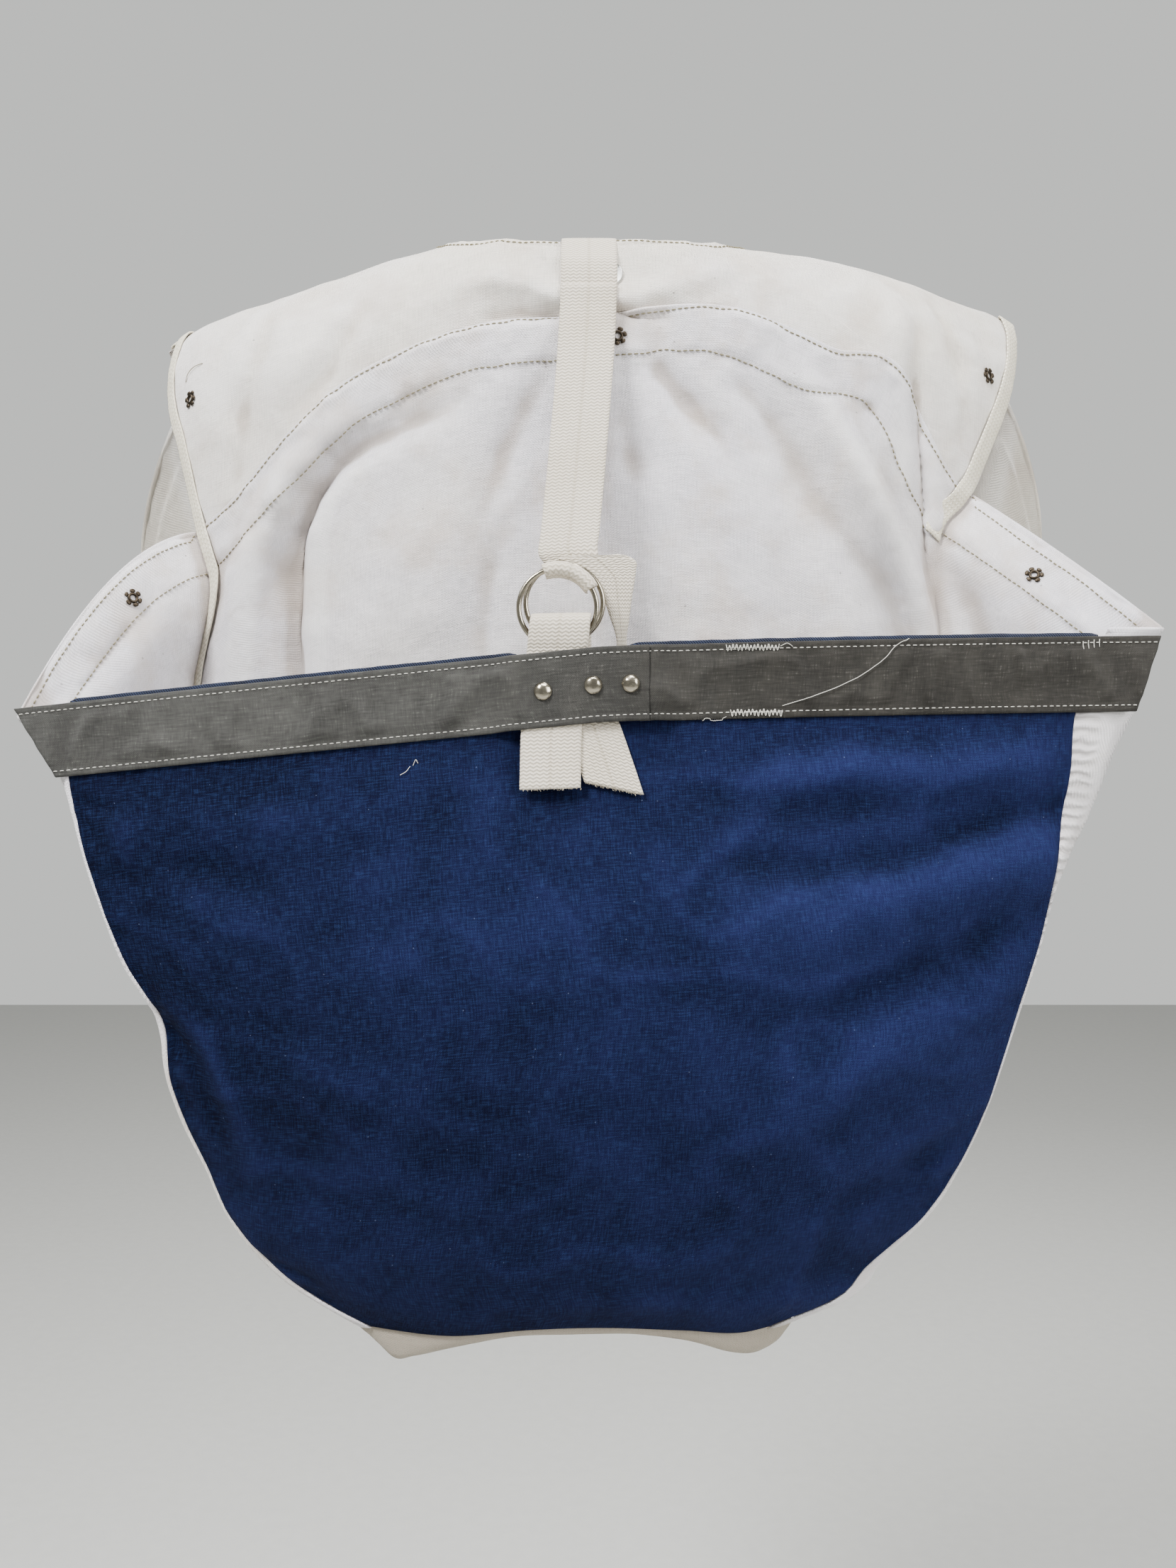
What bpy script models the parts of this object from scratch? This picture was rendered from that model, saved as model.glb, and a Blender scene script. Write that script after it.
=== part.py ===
"""A newspaper carrier's bag that is worn over the head, with a pouch in front and one behind.

Metres, +Z up. The front faces -Y. The origin is the middle of the neck opening, on the shoulder line.
Each half of the bag is worked out as if it were the front one; the rear half is then mirrored in Y.
"""

import math
from collections import namedtuple

import bpy
import numpy as np
from mathutils import Vector
from mathutils.bvhtree import BVHTree

# Cloth, tape and hardware sizes
CANVAS = 0.0012
PANEL_CLOTH = 0.0012
BAND_CLOTH = 0.0010
BAND_HEIGHT = 0.038
EDGE_CLOTH = 0.0010
EDGE_SHOWS = 0.0035
TAPE_CLOTH = 0.0010
TAPE_WIDTH_LEFT = 0.0078
TAPE_WIDTH_RIGHT = 0.0108
TAPE_INSET = 0.0026
WEBBING_WIDTH = 0.0300
WEBBING_THICK = 0.0016
RING_RADIUS = 0.0198
RING_WIRE_RADIUS = 0.00135
RIVET_RADIUS = 0.0047
RIVET_RISE = 0.0026
CAP_SNAP_RADIUS = 0.0084
CAP_SNAP_THICK = 0.0012
PRONG_SNAP_RADIUS = 0.0046
PRONG_SNAP_THICK = 0.0012
GAP = 0.0004

# Shoulders and chest
SHOULDER_ROUND = 0.075
ROUND_POWER = 2.0
NECK_ROUND_POWER = 3.0
BELOW_ROUND = 1.3
NECK_HALF_WIDTH = 0.092
NECK_FRONT_TURN = 0.62
NECK_REAR_TURN = 0.55
HEM_OVERLAP = 0.004
EDGE_STRIP = 0.016
POUCH_LIFT = CANVAS + GAP

# Pouch mouth
MOUTH_Z = -0.2586
MOUTH_CORNER = 0.2946
PANEL_TOP_Z = -0.262
GUSSET_ABOVE_MOUTH = (-0.0034, 0.0030)
CHEST_BOTTOM_Z = -0.600

Shoulder = namedtuple("Shoulder", "x z")
Arch = namedtuple("Arch", "x z")
Side = namedtuple("Side", "z left right")
Panel = namedtuple("Panel", "z left right middle edge")
Corner = namedtuple("Corner", "share left right back")
Fold = namedtuple("Fold", "x z width rise")
BandEnd = namedtuple("BandEnd", "below left right")
Half = namedtuple(
    "Half",
    "name depth reach arch sides panel corners bow flare tilt folds dents chest rows wide across",
)
Ride = namedtuple("Ride", "turn lift")
Way = namedtuple("Way", "x y z lean")
Wrap = namedtuple("Wrap", "toward distance y taken")
Flap = namedtuple("Flap", "z left right y")
Leg = namedtuple("Leg", "x z lean layer")
Rivet = namedtuple("Rivet", "name x below")
Snap = namedtuple("Snap", "name carrier x y z facing")

# The shoulder line, from the left tip to the right one
SHOULDERS = (
    Shoulder(-0.270, -0.066),
    Shoulder(-0.247, -0.052),
    Shoulder(-0.191, -0.033),
    Shoulder(-0.143, -0.020),
    Shoulder(-0.092, -0.006),
    Shoulder(0.000, -0.003),
    Shoulder(0.092, -0.005),
    Shoulder(0.119, -0.009),
    Shoulder(0.167, -0.0155),
    Shoulder(0.215, -0.029),
    Shoulder(0.258, -0.043),
    Shoulder(0.275, -0.052),
)

# The seam where the pouch is sewn to the yoke, across the chest
FRONT_ARCH = (
    Arch(-0.227, -0.182),
    Arch(-0.201, -0.166),
    Arch(-0.170, -0.135),
    Arch(-0.143, -0.112),
    Arch(-0.096, -0.088),
    Arch(-0.055, -0.076),
    Arch(0.000, -0.071),
    Arch(0.087, -0.069),
    Arch(0.133, -0.087),
    Arch(0.180, -0.103),
    Arch(0.197, -0.138),
    Arch(0.214, -0.161),
)
REAR_ARCH = (
    Arch(-0.266, -0.092),
    Arch(-0.150, -0.090),
    Arch(0.000, -0.080),
    Arch(0.150, -0.086),
    Arch(0.270, -0.080),
)

# The armhole edge, and below the seam the fold between the chest wall and the gusset
FRONT_SIDES = (
    Side(-0.040, -0.2480, 0.2630),
    Side(-0.060, -0.2510, 0.2620),
    Side(-0.088, -0.2525, 0.2555),
    Side(-0.108, -0.2495, 0.2480),
    Side(-0.130, -0.2415, 0.2370),
    Side(-0.157, -0.2345, 0.2240),
    Side(-0.182, -0.2265, 0.2030),
    Side(-0.215, -0.2160, 0.1980),
    Side(-0.265, -0.2280, 0.1980),
    Side(-0.340, -0.2310, 0.2050),
    Side(-0.430, -0.2220, 0.2120),
    Side(-0.500, -0.2000, 0.1980),
    Side(-0.560, -0.1650, 0.1620),
    Side(-0.600, -0.1260, 0.1130),
)
REAR_SIDES = (
    Side(-0.040, -0.2480, 0.2630),
    Side(-0.060, -0.2600, 0.2680),
    Side(-0.090, -0.2660, 0.2700),
    Side(-0.160, -0.2520, 0.2550),
    Side(-0.250, -0.2300, 0.2320),
    Side(-0.430, -0.2220, 0.2220),
    Side(-0.560, -0.1630, 0.1630),
    Side(-0.600, -0.1220, 0.1220),
)

# The pouch's front wall: its side edges, and how far forward its middle and its edges are
FRONT_PANEL = (
    Panel(-0.250, -0.2680, 0.2690, -0.1500, -0.1425),
    Panel(-0.262, -0.2680, 0.2640, -0.1500, -0.1425),
    Panel(-0.297, -0.2660, 0.2497, -0.1510, -0.1440),
    Panel(-0.327, -0.2610, 0.2472, -0.1550, -0.1440),
    Panel(-0.367, -0.2510, 0.2410, -0.1620, -0.1420),
    Panel(-0.407, -0.2380, 0.2352, -0.1680, -0.1380),
    Panel(-0.440, -0.2225, 0.2260, -0.1700, -0.1330),
    Panel(-0.480, -0.2180, 0.2150, -0.1690, -0.1280),
    Panel(-0.504, -0.2108, 0.2080, -0.1650, -0.1240),
    Panel(-0.528, -0.2010, 0.1970, -0.1590, -0.1210),
    Panel(-0.557, -0.1890, 0.1780, -0.1510, -0.1190),
    Panel(-0.584, -0.1660, 0.1480, -0.1430, -0.1180),
    Panel(-0.602, -0.1415, 0.1300, -0.1370, -0.1190),
    Panel(-0.6155, -0.1150, 0.0960, -0.1300, -0.1200),
)
REAR_PANEL = (
    Panel(-0.250, -0.2690, 0.2690, -0.1500, -0.1425),
    Panel(-0.262, -0.2680, 0.2680, -0.1500, -0.1425),
    Panel(-0.367, -0.2460, 0.2460, -0.1600, -0.1420),
    Panel(-0.480, -0.2160, 0.2160, -0.1660, -0.1280),
    Panel(-0.557, -0.1830, 0.1830, -0.1500, -0.1190),
    Panel(-0.6155, -0.1050, 0.1050, -0.1300, -0.1200),
)

# How far the gusset stands out beyond the front wall before it folds back, down its length
FRONT_CORNERS = (
    Corner(0.00, 0.0262, 0.0302, 0.0030),
    Corner(0.10, 0.0070, 0.0325, 0.0035),
    Corner(0.18, 0.0025, 0.0225, 0.0040),
    Corner(0.26, 0.0020, 0.0140, 0.0040),
    Corner(0.35, 0.0020, 0.0035, 0.0040),
    Corner(0.50, 0.0040, 0.0020, 0.0040),
    Corner(0.80, 0.0030, 0.0040, 0.0040),
    Corner(1.00, 0.0090, 0.0150, 0.0040),
)
REAR_CORNERS = (
    Corner(0.00, 0.0262, 0.0262, 0.0030),
    Corner(0.15, 0.0100, 0.0100, 0.0040),
    Corner(0.30, 0.0020, 0.0020, 0.0040),
    Corner(1.00, 0.0020, 0.0020, 0.0040),
)

# The band's ends, down its height
BAND_ENDS = (BandEnd(0.0, -0.2946, 0.2946), BandEnd(0.038, -0.2722, 0.2815))

# Folds of the chest wall: soft ridges and valleys, each along a line of places
LEFT_RIDGE = (
    Fold(-0.075, -0.098, 0.020, 0.000),
    Fold(-0.125, -0.118, 0.022, 0.008),
    Fold(-0.166, -0.160, 0.022, 0.010),
    Fold(-0.180, -0.230, 0.020, 0.012),
    Fold(-0.186, -0.320, 0.020, 0.012),
    Fold(-0.190, -0.420, 0.020, 0.000),
)
LEFT_VALLEY = (
    Fold(-0.085, -0.130, 0.018, 0.000),
    Fold(-0.120, -0.150, 0.020, -0.008),
    Fold(-0.142, -0.200, 0.018, -0.012),
    Fold(-0.150, -0.320, 0.018, -0.012),
    Fold(-0.155, -0.420, 0.020, 0.000),
)
RIGHT_RIDGE = (
    Fold(0.060, -0.100, 0.020, 0.000),
    Fold(0.105, -0.112, 0.022, 0.007),
    Fold(0.140, -0.155, 0.024, 0.010),
    Fold(0.172, -0.225, 0.022, 0.010),
    Fold(0.180, -0.320, 0.020, 0.009),
    Fold(0.180, -0.420, 0.020, 0.000),
)
CHEST_FOLDS = (LEFT_RIDGE, LEFT_VALLEY, RIGHT_RIDGE)

# Folds of the blue wall
LOWER_LEFT_CREASE = (
    Fold(-0.205, -0.440, 0.014, 0.000),
    Fold(-0.196, -0.480, 0.014, -0.004),
    Fold(-0.176, -0.530, 0.014, -0.004),
    Fold(-0.150, -0.575, 0.014, 0.000),
)
RIGHT_SWELL = (
    Fold(0.080, -0.420, 0.030, 0.000),
    Fold(0.150, -0.385, 0.030, 0.005),
    Fold(0.225, -0.350, 0.030, 0.000),
)
RIGHT_HOLLOW = (
    Fold(0.090, -0.500, 0.026, 0.000),
    Fold(0.150, -0.455, 0.026, -0.005),
    Fold(0.215, -0.400, 0.026, 0.000),
)
PANEL_FOLDS = (LOWER_LEFT_CREASE, RIGHT_SWELL, RIGHT_HOLLOW)

# Pairs are left and right; chest, rows, wide and across count the strips that the cloth is drawn in
FRONT = Half(
    name="front",
    depth=0.097,
    reach=0.270,
    arch=FRONT_ARCH,
    sides=FRONT_SIDES,
    panel=FRONT_PANEL,
    corners=FRONT_CORNERS,
    bow=(0.022, 0.002),
    flare=(0.0, 0.0),
    tilt=(0.030, 0.0077),
    folds=PANEL_FOLDS,
    dents=CHEST_FOLDS,
    chest=24,
    rows=14,
    wide=18,
    across=6,
)
REAR = Half(
    name="rear",
    depth=0.100,
    reach=0.310,
    arch=REAR_ARCH,
    sides=REAR_SIDES,
    panel=REAR_PANEL,
    corners=REAR_CORNERS,
    bow=(0.0, 0.0),
    flare=(0.024, 0.026),
    tilt=(0.004, -0.004),
    folds=(),
    dents=(),
    chest=14,
    rows=9,
    wide=10,
    across=4,
)


def read(rows, key, column, at):
    """A column's value at a place along the key column, on a smooth curve through the rows."""
    keys = np.array([getattr(row, key) for row in rows], float)
    values = np.array([getattr(row, column) for row in rows], float)
    if keys[0] > keys[-1]:
        keys, values = keys[::-1], values[::-1]
    slopes = np.gradient(values, keys)
    at = min(max(at, keys[0]), keys[-1])
    i = min(int(np.searchsorted(keys, at, side="right")) - 1, len(keys) - 2)
    step = keys[i + 1] - keys[i]
    t = (at - keys[i]) / step
    start = (1 + 2 * t) * (1 - t) ** 2 * values[i] + t * (1 - t) ** 2 * step * slopes[i]
    end = t * t * (3 - 2 * t) * values[i + 1] + t * t * (t - 1) * step * slopes[i + 1]
    return float(start + end)


def ease(value, low, high):
    """0 below low, 1 above high, and a soft step between them."""
    t = min(max((value - low) / (high - low), 0.0), 1.0)
    return t * t * (3 - 2 * t)


def blend(a, b, t):
    return a + (b - a) * t


def fold_rise(folds, x, z):
    """How far the folds stand out from the smooth cloth at a place."""
    rise = 0.0
    for fold in folds:
        nearest = (math.inf, 1.0, 0.0)
        for a, b in zip(fold, fold[1:]):
            along_x, along_z = b.x - a.x, b.z - a.z
            t = ((x - a.x) * along_x + (z - a.z) * along_z) / (along_x * along_x + along_z * along_z)
            t = min(max(t, 0.0), 1.0)
            away = math.hypot(x - a.x - t * along_x, z - a.z - t * along_z)
            nearest = min(nearest, (away, blend(a.width, b.width, t), blend(a.rise, b.rise, t)))
        rise += nearest[2] * math.exp(-((nearest[0] / nearest[1]) ** 2))
    return rise


def shoulder_z(x):
    return read(SHOULDERS, "x", "z", x)


def body_depth(half, x, z):
    """How far the chest stands out from the shoulder line."""
    narrow = max(1 - (min(abs(x), half.reach - 0.001) / half.reach) ** 3.2, 0.0) ** 0.8
    waist = 1 - 0.25 * ease(-z, 0.35, 0.60)
    return half.depth * narrow * waist


def round_power(x):
    """How square the round is: the cloth stands up more steeply in front of the neck."""
    return blend(NECK_ROUND_POWER, ROUND_POWER, ease(abs(x), 0.02, 0.10))


def turn_at(half, x, z):
    """The turn from the shoulder line, 0, down over the round of the shoulder, 1, and on down the chest."""
    drop = (shoulder_z(x) - z) / SHOULDER_ROUND
    if drop >= 1:
        return 1 + (drop - 1) / BELOW_ROUND
    return math.acos((1 - max(drop, 0.0)) ** (round_power(x) / 2)) / (math.pi / 2)


def body_point(half, x, turn):
    """A point of the cloth that lies on the shoulders and the chest, on the front's side."""
    angle = min(turn, 1.0) * math.pi / 2
    below = max(turn - 1, 0.0) * BELOW_ROUND
    power = 2 / round_power(x)
    z = shoulder_z(x) - SHOULDER_ROUND * (1 - max(math.cos(angle), 0.0) ** power + below)
    out = body_depth(half, x, z) * math.sin(angle) ** power
    out += fold_rise(half.dents, x, z) * ease(turn, 0.35, 0.8)
    return np.array((x, -out, z))


def chest_point(half, x, z):
    return body_point(half, x, turn_at(half, x, z))


def mouth_slope(half, x):
    """How far the mouth's line is above its middle."""
    left, right = half.tilt
    if x < 0:
        return left * x / MOUTH_CORNER
    return right * (x / MOUTH_CORNER) ** 0.7


def panel_point(half, x, z):
    """A point of the pouch's front wall; z is counted on the centre line, under a level mouth."""
    width = read(half.panel, "z", "right" if x > 0 else "left", z)
    middle = read(half.panel, "z", "middle", z)
    edge = read(half.panel, "z", "edge", z)
    y = middle + (edge - middle) * min(abs(x / width), 1.2) ** 2.6
    level = 1 - ease(-z, 0.26, 0.60)
    rise = fold_rise(half.folds, x, z) * ease(-z, 0.30, 0.34)
    return np.array((x, y - rise, z + mouth_slope(half, x) * level))


def normal_of(surface, a, b, step=0.002):
    """The unit normal of surface(a, b), pointing out of the bag's front."""
    across = surface(a + step, b) - surface(a - step, b)
    down = surface(a, b - step) - surface(a, b + step)
    normal = np.cross(down, across)
    normal /= np.linalg.norm(normal)
    return normal if normal[1] < 0 else -normal


def lifted(surface, a, b, lift):
    return surface(a, b) + lift * normal_of(surface, a, b)


def grid_normals(grid, loop):
    """Unit normals of a grid of points; with loop, its last column joins its first."""
    if loop:
        wide = np.concatenate([grid[:, -1:], grid, grid[:, :1]], axis=1)
        across = wide[:, 2:] - wide[:, :-2]
    else:
        across = np.gradient(grid, axis=1)
    down = np.gradient(grid, axis=0)
    normals = np.cross(across, down)
    return normals / np.maximum(np.linalg.norm(normals, axis=2, keepdims=True), 1e-12)


def srgb(red, green, blue):
    """A colour as the eye reads it, 0 to 255, as the linear values that a shader takes."""
    return tuple((c / 255) ** 2.2 for c in (red, green, blue))


COLOURS = {
    "canvas": (srgb(222, 219, 214), 0.9, 0.0),
    "blue_cloth": (srgb(30, 44, 76), 0.85, 0.0),
    "grey_tape": (srgb(100, 99, 96), 0.8, 0.0),
    "navy_edge": (srgb(24, 31, 52), 0.85, 0.0),
    "cream_tape": (srgb(226, 220, 200), 0.85, 0.0),
    "webbing": (srgb(212, 207, 195), 0.8, 0.0),
    "nickel": (srgb(196, 190, 178), 0.25, 1.0),
}


def material(name):
    made = bpy.data.materials.get(name)
    if made is None:
        colour, roughness, metallic = COLOURS[name]
        made = bpy.data.materials.new(name)
        made.use_nodes = True
        shader = made.node_tree.nodes["Principled BSDF"]
        shader.inputs["Base Color"].default_value = (*colour, 1)
        shader.inputs["Roughness"].default_value = roughness
        shader.inputs["Metallic"].default_value = metallic
    return made


def add_object(name, points, faces, finish, mirror=False):
    """One closed solid with its own material slot; a mirrored one is turned round in Y."""
    points = np.array(points, float)
    if mirror:
        points = points * (1, -1, 1)
        faces = [face[::-1] for face in faces]
    mesh = bpy.data.meshes.new(name)
    mesh.from_pydata([tuple(p) for p in points], [], faces)
    mesh.materials.append(material(finish))
    mesh.update()
    made = bpy.data.objects.new(name, mesh)
    bpy.context.collection.objects.link(made)
    return made


def solid_faces(rows, columns, loop):
    """The faces of a closed wall made of two grids of rows by columns points, the front one first."""
    back = rows * columns
    last = columns if loop else columns - 1
    faces = []
    for r in range(rows - 1):
        for c in range(last):
            a, b = r * columns + c, r * columns + (c + 1) % columns
            d, e = a + columns, b + columns
            faces += [(a, d, e), (a, e, b), (back + a, back + e, back + d), (back + a, back + b, back + e)]
    for c in range(last):
        a, b = c, (c + 1) % columns
        d, e = (rows - 1) * columns + a, (rows - 1) * columns + b
        faces += [(a, b, back + b, back + a), (d, back + d, back + e, e)]
    if not loop:
        for r in range(rows - 1):
            a, b = r * columns, (r + 1) * columns
            d, e = a + columns - 1, b + columns - 1
            faces += [(a, back + a, back + b, b), (d, e, back + e, back + d)]
    return faces


def add_wall(name, grid, thick, finish, loop=False, mirror=False):
    """A cloth wall of even thickness about a grid of points; rows run down and columns to the right."""
    grid = np.array(grid, float)
    normals = grid_normals(grid, loop)
    front, back = grid - normals * thick / 2, grid + normals * thick / 2
    points = np.concatenate([front.reshape(-1, 3), back.reshape(-1, 3)])
    return add_object(name, points, solid_faces(*grid.shape[:2], loop), finish, mirror)


def seam_place(half, s, above=0.0):
    """(x, z) along the seam, or a little above it, from the left armhole to the right one."""
    left, right = half.arch[0].z + above, half.arch[-1].z + above
    x = blend(read(half.sides, "z", "left", left), read(half.sides, "z", "right", right), s)
    if s in (0, 1):
        return x, (left, right)[int(s)]
    return x, read(half.arch, "x", "z", x) + above


def armhole_places(half, right, count):
    """(x, z) down the armhole edge, from the shoulder line to the seam."""
    column = "right" if right else "left"
    top, seam = shoulder_z(read(half.sides, "z", column, half.sides[0].z)), half.arch[-1 if right else 0].z
    places = []
    for i in range(count + 1):
        z = blend(top, seam, (i / count) ** 1.7)
        places.append((read(half.sides, "z", column, z), z))
    return places


def signed_turn(half, x, z):
    """The turn of a place on the body: below 0 on the front's side, above 0 on the rear's."""
    turn = turn_at(half, x, z)
    return -turn if half is FRONT else turn


def signed_body_point(x, turn):
    if turn <= 0:
        return body_point(FRONT, x, -turn)
    return body_point(REAR, x, turn) * (1, -1, 1)


def neck_edge(angle):
    """The neck opening's edge as (x, turn), at an angle about the opening's middle."""
    x = NECK_HALF_WIDTH * math.copysign(abs(math.cos(angle)) ** 0.85, math.cos(angle))
    reach = NECK_FRONT_TURN if math.sin(angle) < 0 else NECK_REAR_TURN
    return x, reach * math.sin(angle)


def seam_column(half, s, angle):
    """A line of the yoke from the neck opening's edge to the seam; its last two points are the lap."""
    inner_x, inner_turn = neck_edge(angle)
    x, z = seam_place(half, s, HEM_OVERLAP)
    turn = signed_turn(half, x, z)
    column = []
    for share in (0, 0.12, 0.30, 0.52, 0.76, 1):
        column.append(signed_body_point(blend(inner_x, x, share), blend(inner_turn, turn, share)))
    x, z = seam_place(half, s)
    return [*column, signed_body_point(x, signed_turn(half, x, z))]


def armhole_column(half, place, angle):
    """A line of the yoke from the neck opening's edge to the armhole; a strip at its end is the tape's."""
    inner_x, inner_turn = neck_edge(angle)
    x, z = place
    turn = signed_turn(half, x, z)
    strip = EDGE_STRIP / math.hypot(x - inner_x, 0.10 * (turn - inner_turn))
    column = []
    for share in (0, 0.15, 0.35, 0.58, 0.80):
        share *= 1 - strip
        column.append(signed_body_point(blend(inner_x, x, share), blend(inner_turn, turn, share)))
    column.append(signed_body_point(blend(x, inner_x, strip), blend(turn, inner_turn, strip)))
    return [*column, signed_body_point(x, turn)]


def yoke_columns():
    """The yoke's lines, anticlockwise from the left end of the front seam, and the two armholes' own."""
    corner = math.radians(38)
    front, right, rear, left = [], [], [], []
    for i in range(FRONT.chest):
        s = i / FRONT.chest
        front.append(seam_column(FRONT, s, blend(math.pi + corner, 2 * math.pi - corner, s)))
    for i in range(REAR.chest):
        s = i / REAR.chest
        rear.append(seam_column(REAR, 1 - s, blend(corner, math.pi - corner, s)))
    right_front = armhole_places(FRONT, True, 8)[::-1]
    right_rear = armhole_places(REAR, True, 4)
    left_rear = armhole_places(REAR, False, 4)[::-1]
    left_front = armhole_places(FRONT, False, 8)
    right.append(seam_column(FRONT, 1, -corner))
    for i, place in enumerate(right_front[1:]):
        right.append(armhole_column(FRONT, place, -corner * (1 - (i + 1) / 8)))
    for i, place in enumerate(right_rear[1:-1]):
        right.append(armhole_column(REAR, place, corner * (i + 1) / 4))
    left.append(seam_column(REAR, 0, math.pi - corner))
    for i, place in enumerate(left_rear[1:-1]):
        left.append(armhole_column(REAR, place, math.pi - corner * (1 - (i + 1) / 4)))
    for i, place in enumerate(left_front[:-1]):
        left.append(armhole_column(FRONT, place, math.pi + corner * i / 8))
    return front, right, rear, left


def make_yoke(columns):
    """The canvas over both shoulders, in lines from the neck opening's edge to the outer edge."""
    rows = np.array([column for stretch in columns for column in stretch]).transpose(1, 0, 2)
    return add_wall("yoke", rows, CANVAS, "canvas", loop=True)


def shares(half):
    """How far down the pouch its rows are; the first two are the lap over the yoke."""
    lap = HEM_OVERLAP / 0.43
    return [0, lap, *np.linspace(0, 1, half.rows)[1:]]


def chest_row(half, share):
    """A row of the wall on the chest, from the left gusset's fold to the right one's."""
    row = []
    for i in range(half.chest + 1):
        s = i / half.chest
        if share < 0.02:
            x, z = seam_place(half, s, HEM_OVERLAP if share == 0 else 0.0)
        else:
            tops = half.arch[0].z, half.arch[-1].z
            ends = [blend(top, CHEST_BOTTOM_Z, share) for top in tops]
            x = blend(read(half.sides, "z", "left", ends[0]), read(half.sides, "z", "right", ends[1]), s)
            top = seam_place(half, s)[1] if 0 < i < half.chest else tops[i // half.chest]
            z = blend(top, CHEST_BOTTOM_Z, share)
        row.append(lifted(lambda a, b: chest_point(half, a, b), x, z, POUCH_LIFT))
    return row


def wall_levels(half):
    """The heights of the front wall's rows, from its upper rim down, on the centre line."""
    top, bottom = PANEL_TOP_Z, half.panel[-1].z
    return [top, top - 0.013, *np.linspace(top, bottom, half.rows)[1:]]


def gusset_row(half, right, z, side):
    """A row across the gusset, from the front wall's edge, round the outer fold, to the chest wall."""
    sign = 1 if right else -1
    column = "right" if right else "left"
    share = (z - MOUTH_Z) / (half.panel[-1].z - MOUTH_Z)
    above = GUSSET_ABOVE_MOUTH[right] * (1 - ease(share, 0.0, 0.03))
    edge = read(half.panel, "z", column, z + above) + sign * (1.5 * GAP if half is FRONT else 5 * GAP)
    out = read(half.corners, "share", column, share)
    back = read(half.corners, "share", "back", share)
    wall = panel_point(half, edge, z) + (0, 0, above)
    fold = panel_point(half, edge + sign * out, z) + (0, back, above)
    rise = half.bow[right] * (1 - ease(share, 0.0, 0.35))
    flare = half.flare[right] * (1 - ease(share, 0.1, 0.5))
    row = [wall, blend(wall, fold, 0.5) - (0, back * 0.4, 0), fold]
    for i in range(1, half.across):
        t = i / half.across
        bow = 4 * t * (1 - t)
        row.append(blend(fold, side, t) + (sign * flare * bow, 0, rise * bow))
    return row


def make_pouch(half, chest):
    """The white canvas of a pouch: the wall on the chest and both gussets, one sheet bent round."""
    rows = []
    for level, row in zip([MOUTH_Z, *wall_levels(half)[1:]], chest):
        left = gusset_row(half, False, level, row[0])
        right = gusset_row(half, True, level, row[-1])
        rows.append([*left, *row, *right[::-1]])
    add_wall(f"{half.name}_pouch", rows, CANVAS, "canvas", mirror=half is REAR)
    return rows


def make_panel(half):
    """The blue front wall of a pouch."""
    rows = []
    for z in wall_levels(half):
        left = read(half.panel, "z", "left", z)
        right = read(half.panel, "z", "right", z)
        rows.append([panel_point(half, blend(left, right, i / half.wide), z) for i in range(half.wide + 1)])
    add_wall(f"{half.name}_panel", rows, PANEL_CLOTH, "blue_cloth", mirror=half is REAR)


def make_bottom(half, last):
    """The white bottom, a shallow bowl between the walls' lower edges, lowest at its front corners."""
    left, right = blend(last[0], last[2], 0.8), blend(last[-1], last[-3], 0.8)
    chest = last[half.across + 2:len(last) - half.across - 2]
    count, columns = 4, half.chest
    rows = []
    for r in range(count + 1):
        w = r / count
        row = []
        for c in range(columns + 1):
            s = c / columns
            front = panel_point(half, blend(left[0], right[0], s), half.panel[-1].z)
            inward = max((1 - abs(2 * s - 1) ** 6) * (1 - abs(2 * w - 1) ** 3), 0.0)
            corner = math.exp(-(((abs(2 * s - 1) - 0.85) / 0.25) ** 2) - (w / 0.5) ** 2)
            sag = 0.0016 + 0.006 * inward ** 0.5 + 0.020 * corner * inward ** 0.25
            row.append(blend(front, chest[c], w) - (0, 0, GAP + CANVAS / 2 + sag))
        rows.append(row)
    add_wall(f"{half.name}_bottom", rows, CANVAS, "canvas", mirror=half is REAR)


# The loop's two legs make the band stand out between these places
LOOP_LEFT = -0.0385
LOOP_RIGHT = 0.0335
LOOP_SOFT = 0.013
LOOP_STACK = 2 * WEBBING_THICK + 3 * GAP
BAND_LAP_X = 0.0306
BAND_UNDER_X = 0.0262


def band_lift(half, x):
    """How far the band's middle lies from the middle of the blue wall's cloth."""
    lift = PANEL_CLOTH / 2 + 1.5 * GAP + BAND_CLOTH / 2
    if half is FRONT:
        over_left = ease(x, LOOP_LEFT - LOOP_SOFT, LOOP_LEFT)
        lift += LOOP_STACK * over_left * (1 - ease(x, LOOP_RIGHT, LOOP_RIGHT + LOOP_SOFT))
    return lift


def band_point(half, x, below, lift):
    """A point of the band, counted down from the mouth's line; past the blue wall it follows the gusset."""
    edge = abs(read(half.panel, "z", "right" if x > 0 else "left", MOUTH_Z - below))
    lift += 0.0003 * ease(abs(x), edge - 0.01, edge)
    return lifted(lambda a, b: panel_point(half, a, b), x, MOUTH_Z - below, lift)


def band_rows(half, columns, right_lap=False):
    """The band through a row of shares of its length, 0 at its left end and 1 at its right one."""
    rows = []
    for end in np.linspace(0, BAND_HEIGHT, 4):
        left, right = (read(BAND_ENDS, "below", side, end) for side in ("left", "right"))
        row = []
        for place in columns:
            x = place * abs(left if place < 0 else right) / MOUTH_CORNER
            x = blend(place, x, ease(abs(place), 0.06, MOUTH_CORNER))
            lift = band_lift(half, x)
            if right_lap:
                lift -= (BAND_CLOTH + GAP) * (1 - ease(x, BAND_LAP_X, BAND_LAP_X + 0.004))
            row.append(band_point(half, x, end, lift))
        rows.append(row)
    return rows


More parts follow.
